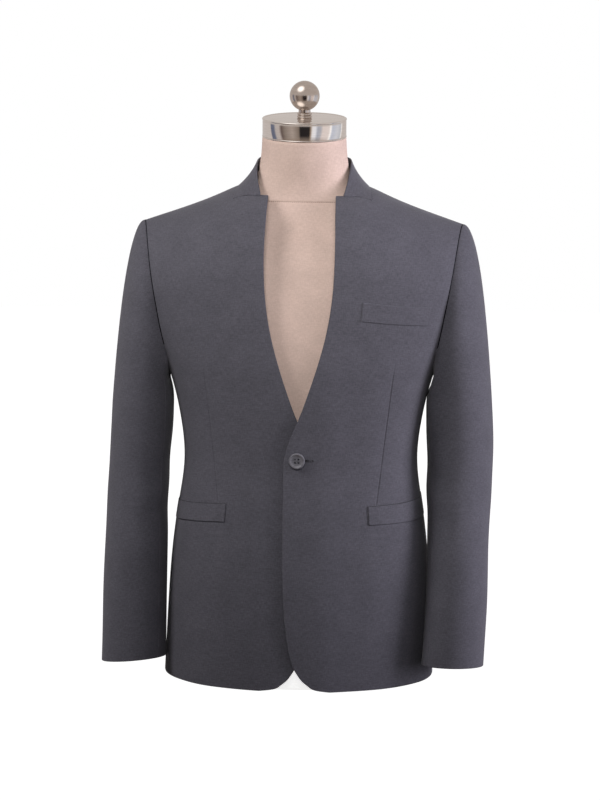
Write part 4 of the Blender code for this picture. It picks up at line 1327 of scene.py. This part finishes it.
def woven_finish(name, weave, pitch, slub_length, colours, roughness, bump, values, on_uv):
    """A woven cloth: colours by its slubs and mottle, roughness by its slubs, bump by its threads."""
    tree = start_finish(name)
    if on_uv:
        place = node(tree, "UVMap", uv_map="threads").outputs["UV"]
    else:
        place = node(tree, "TexCoord").outputs["Object"]
        upright = {"Vector": place, "Rotation": (math.radians(-90), 0, 0)}
        place = node(tree, "Mapping", upright).outputs["Vector"]
    threads = {"Threads": place, "Pitch": pitch, "Slub length": slub_length}
    cloth = node(tree, "Group", threads, node_tree=weave).outputs
    colour = colour_ramp(tree, cloth["Slubs"], zip(WOVEN_STOPS, colours))
    shade = ranged(tree, cloth["Mottle"], *NOISE_RANGE, *MOTTLE_SHADES)
    tint = node(tree, "VectorMath", {0: colour, "Scale": shade}, operation="SCALE")
    inputs = {
        "Base Color": tint.outputs["Vector"],
        "Roughness": ranged(tree, cloth["Slubs"], *NOISE_RANGE, *roughness),
        "Normal": relief(tree, cloth["Height"], bump),
    }
    end_finish(tree, inputs | values)


def speckled_finish(name, colours, scale, stretch, roughness):
    """A hard finish or a thread: colour and roughness by a noise stretched upright, and a faint bump."""
    tree = start_finish(name)
    place = node(tree, "TexCoord").outputs["Object"]
    place = node(tree, "Mapping", {"Vector": place, "Scale": (1, 1, stretch)}).outputs["Vector"]
    noise = node(tree, "TexNoise", {"Vector": place, "Scale": scale, "Detail": 4.0}).outputs["Fac"]
    inputs = {
        "Base Color": colour_ramp(tree, noise, zip(SPECKLED_STOPS, colours)),
        "Roughness": ranged(tree, noise, *NOISE_RANGE, *roughness),
    }
    if name in SPECKLED_RELIEF:
        inputs["Normal"] = relief(tree, noise, SPECKLED_RELIEF[name])
    end_finish(tree, inputs | SPECKLED_VALUES.get(name, {}))


RELIEF_DEPTH = 0.0002
NOISE_RANGE = (0.3, 0.7)
MOTTLE_SHADES = (0.94, 1.06)
WOVEN_STOPS = (0.36, 0.5, 0.64)
SPECKLED_STOPS = (0.35, 0.65)

# Woven finishes: the suiting lies along its threads, and the linen upright on the form
WOVEN = {
    "suiting": {
        "pitch": 0.0005,
        "slub_length": 0.006,
        "colours": ((0.0690, 0.0658, 0.0772), (0.0880, 0.0840, 0.0990), (0.1090, 0.1040, 0.1235)),
        "roughness": (0.72, 0.90),
        "bump": 0.25,
        "values": {"Sheen Weight": 0.06, "Specular IOR Level": 0.15},
        "on_uv": True,
    },
    "form_linen": {
        "pitch": 0.0006,
        "slub_length": 0.005,
        "colours": ((0.555, 0.410, 0.347), (0.600, 0.450, 0.384), (0.645, 0.492, 0.426)),
        "roughness": (0.80, 0.95),
        "bump": 0.20,
        "values": {"Specular IOR Level": 0.15},
        "on_uv": False,
    },
}

# Speckled finishes: a dark and a light colour, scale and upright stretch of the speckle, and roughness
SPECKLED = {
    "button_horn": ((0.105, 0.101, 0.115), (0.150, 0.145, 0.163), 160, 3, (0.28, 0.42)),
    "cap_metal": ((0.73, 0.685, 0.645), (0.79, 0.745, 0.710), 60, 14, (0.05, 0.10)),
    "ball_metal": ((0.56, 0.495, 0.450), (0.62, 0.555, 0.510), 60, 4, (0.14, 0.20)),
    # White plinth with a painted glow
    "plinth_white": ((0.90, 0.89, 0.88), (0.94, 0.93, 0.92), 90, 1, (0.5, 0.7)),
    # Near black: painted shade of the button's holes and of the buttonhole's slit
    "thread_and_slit_painted_shade": ((0.006, 0.006, 0.007), (0.012, 0.012, 0.014), 1500, 1, (0.8, 0.95)),
    "cloth_thread": ((0.055, 0.053, 0.062), (0.085, 0.082, 0.095), 1500, 1, (0.7, 0.9)),
    # Lining of the pocket mouths: its own dark colour, deepened with painted shade
    "lining_with_painted_shade": ((0.020, 0.019, 0.023), (0.030, 0.029, 0.034), 900, 1, (0.6, 0.8)),
    # Painted shadow of the armhole seams: near black
    "armhole_painted_shadow": ((0.003, 0.003, 0.004), (0.006, 0.006, 0.007), 900, 1, (0.8, 0.95)),
    "button_thread": ((0.085, 0.082, 0.094), (0.125, 0.120, 0.136), 1500, 1, (0.7, 0.9)),
    "linen_thread": ((0.22, 0.14, 0.11), (0.34, 0.24, 0.20), 1500, 1, (0.8, 0.95)),
}
SPECKLED_RELIEF = {"button_horn": 0.05, "plinth_white": 0.05}
SPECKLED_VALUES = {
    "button_horn": {"Coat Weight": 0.25},
    "cap_metal": {"Metallic": 1.0},
    "ball_metal": {"Metallic": 1.0},
    # The plinth's emission is painted light, not a lamp
    "plinth_white": {"Emission Color": (1, 0.995, 0.99, 1), "Emission Strength": 0.8},
    "armhole_painted_shadow": {"Specular IOR Level": 0.05},
}


def add_finishes():
    """Suiting and linen on one weave, and the finishes of the hard pieces and threads."""
    weave = plain_weave()
    for name, look in WOVEN.items():
        woven_finish(name, weave, **look)
    for name, (dark, light, scale, stretch, roughness) in SPECKLED.items():
        speckled_finish(name, (dark, light), scale, stretch, roughness)


# Studio

WHITE = (1, 1, 1, 1)
FLOOR_RADIUS = 5.0
FLOOR_GLOW = 0.985
ROOM_LIGHT = 0.02


def looking(place, aim):
    """The place and turn of a light or camera that looks at a point."""
    turn = (Vector(aim) - Vector(place)).to_track_quat("-Z", "Y")
    return Matrix.Translation(place) @ turn.to_matrix().to_4x4()


def add_softbox(name, place, aim, size, power, colour=(1, 1, 1), spread=180):
    """A soft light; a small spread is a grid that keeps its light to what it aims at."""
    data = bpy.data.lights.new(name, "AREA")
    data.shape = "RECTANGLE"
    data.size, data.size_y = size
    data.energy = power
    data.color = colour
    data.spread = math.radians(spread)
    lamp = new_object(name, data)
    lamp.matrix_world = looking(place, aim)
    lamp.visible_glossy = False


def add_floor():
    """A pale floor that looks near white to the camera, and throws little light back up."""
    bpy.ops.object.select_all(action="DESELECT")
    bpy.ops.mesh.primitive_circle_add(vertices=96, radius=FLOOR_RADIUS, fill_type="NGON")
    floor = bpy.context.object
    floor.name = "studio_floor"
    tree = start_finish("floor_white")
    place = node(tree, "TexCoord").outputs["Object"]
    noise = node(tree, "TexNoise", {"Scale": 3.0, "Vector": place}).outputs["Fac"]
    seen = node(tree, "LightPath").outputs["Is Camera Ray"]
    inputs = {
        "Base Color": (0.06, 0.06, 0.06, 1),
        "Roughness": ranged(tree, noise, 0, 1, 0.85, 0.95),
        "Emission Color": WHITE,
        "Emission Strength": maths(tree, "MULTIPLY", seen, FLOOR_GLOW),
    }
    end_finish(tree, inputs)
    floor.data.materials.append(bpy.data.materials["floor_white"])
    floor.visible_glossy = False


# What the polished metal mirrors, by turn from the camera (0.5) round to the right (0.75) and left (0.25)
ROOM = [
    (0.000, (0.60, 0.55, 0.53)),
    (0.208, (0.66, 0.61, 0.59)),
    (0.217, (0.16, 0.18, 0.26)),
    (0.248, (0.17, 0.19, 0.27)),
    (0.266, (0.56, 0.52, 0.51)),
    (0.298, (0.60, 0.54, 0.52)),
    (0.320, (0.15, 0.11, 0.10)),
    (0.353, (0.30, 0.25, 0.22)),
    (0.411, (0.46, 0.39, 0.35)),
    (0.463, (0.26, 0.21, 0.18)),
    (0.474, (0.025, 0.022, 0.023)),
    (0.546, (0.030, 0.026, 0.026)),
    (0.556, (0.40, 0.30, 0.22)),
    (0.570, (0.98, 0.98, 1.02)),
    (0.593, (0.95, 0.97, 1.05)),
    (0.610, (0.48, 0.51, 0.60)),
    (0.636, (0.55, 0.56, 0.62)),
    (0.653, (0.88, 0.79, 0.77)),
    (0.708, (0.90, 0.82, 0.80)),
    (0.723, (1.25, 1.25, 1.25)),
    (0.740, (0.62, 0.67, 0.80)),
    (0.798, (0.75, 0.78, 0.86)),
    (0.840, (0.60, 0.63, 0.70)),
    (0.850, (1.10, 1.10, 1.10)),
    (0.864, (0.66, 0.61, 0.59)),
    (1.000, (0.60, 0.55, 0.53)),
]

# The ceiling and the ground of that room: over which heights they come in, and their colours
CEILING_AND_GROUND = (((0.02, 0.10), (0.62, 0.57, 0.54)), ((-0.45, -0.75), (0.34, 0.27, 0.225)))

# A bright window in it: which way it lies, how wide, and how bright
WINDOW = (-0.42, -0.44, 0.79)
WINDOW_EDGE = (0.88, 0.985)
WINDOW_GLOW = 1.9


def add_room():
    """White surroundings: dim as a light, bright to the camera, and banded as the metal mirrors them."""
    world = bpy.context.scene.world
    if world is None:
        world = bpy.data.worlds.new("studio")
        bpy.context.scene.world = world
    world.use_nodes = True
    tree = world.node_tree
    tree.nodes.clear()
    way = node(tree, "TexCoord").outputs["Generated"]
    x, y, height = node(tree, "SeparateXYZ", {"Vector": way}).outputs
    turn = maths(tree, "ARCTAN2", x, maths(tree, "MULTIPLY", y, -1.0))
    share = maths(tree, "ADD", maths(tree, "DIVIDE", turn, 2 * math.pi), 0.5)
    room = colour_ramp(tree, share, ROOM)
    for heights, colour in CEILING_AND_GROUND:
        inputs = {"Factor": ranged(tree, height, *heights), "A": room, "B": (*colour, 1)}
        room = node(tree, "Mix", inputs, data_type="RGBA").outputs["Result"]
    aim = node(tree, "VectorMath", {0: way, 1: WINDOW}, operation="DOT_PRODUCT").outputs["Value"]
    window = ranged(tree, aim, *WINDOW_EDGE, 0, WINDOW_GLOW)
    glow = node(tree, "VectorMath", {0: room, 1: window}, operation="ADD").outputs["Vector"]
    path = node(tree, "LightPath").outputs
    shown = node(tree, "Background", {"Color": WHITE, "Strength": ROOM_LIGHT}).outputs[0]
    for ray, colour in (("Is Glossy Ray", glow), ("Is Camera Ray", WHITE)):
        seen = node(tree, "Background", {"Color": colour, "Strength": 1.0}).outputs[0]
        shown = node(tree, "MixShader", {0: path[ray], 1: shown, 2: seen}).outputs[0]
    node(tree, "OutputWorld", {"Surface": shown})


def add_studio():
    """Floor, surroundings and soft lights: strong ones at both sides, low ones in front and behind."""
    add_floor()
    add_room()
    cool, warm = (0.965, 0.955, 1.060), (1.0, 0.995, 1.005)
    add_softbox("softbox_right", (2.6, -1.5, 1.7), (0.0, 0.0, 0.45), (1.6, 2.0), 14, cool)
    add_softbox("softbox_right_side", (2.8, -0.35, 0.9), (0.2, 0.0, 0.4), (1.0, 1.8), 86, cool)
    add_softbox("softbox_left", (-2.0, -1.0, 1.95), (0.0, 0.0, 0.5), (1.0, 1.0), 40, warm)
    add_softbox("softbox_left_side", (-2.6, 0.8, 1.6), (-0.2, 0.0, 0.5), (1.2, 1.8), 20, warm)
    add_softbox("softbox_chest", (0.05, -1.5, 1.17), (0.0, 0.0, 0.56), (0.7, 0.4), 1.42, spread=50)
    add_softbox("softbox_back", (0.2, 2.8, 1.7), (0.0, 0.0, 0.45), (1.8, 1.8), 58)
    bpy.context.scene.view_settings.view_transform = "Standard"


def add_camera():
    data = bpy.data.cameras.new("camera")
    data.sensor_fit = "VERTICAL"
    data.sensor_height = CAMERA_SENSOR
    data.lens = CAMERA_LENS
    data.shift_x = CAMERA_SHIFT
    camera = new_object("camera", data)
    x, y = CAMERA_DISTANCE * math.sin(CAMERA_TURN), -CAMERA_DISTANCE * math.cos(CAMERA_TURN)
    looks = looking((x, y, CAMERA_HEIGHT), (0, 0, CAMERA_AIM))
    camera.matrix_world = looks @ Matrix.Rotation(CAMERA_ROLL, 4, "Z")
    bpy.context.scene.camera = camera


add_camera()
add_finishes()
add_form()
add_body()
add_sleeves()
add_armhole_shadow_lines()
add_collar()
add_pockets()
add_button()
add_buttonhole()
add_neck_stitches()
add_studio()

bpy.context.view_layer.update()
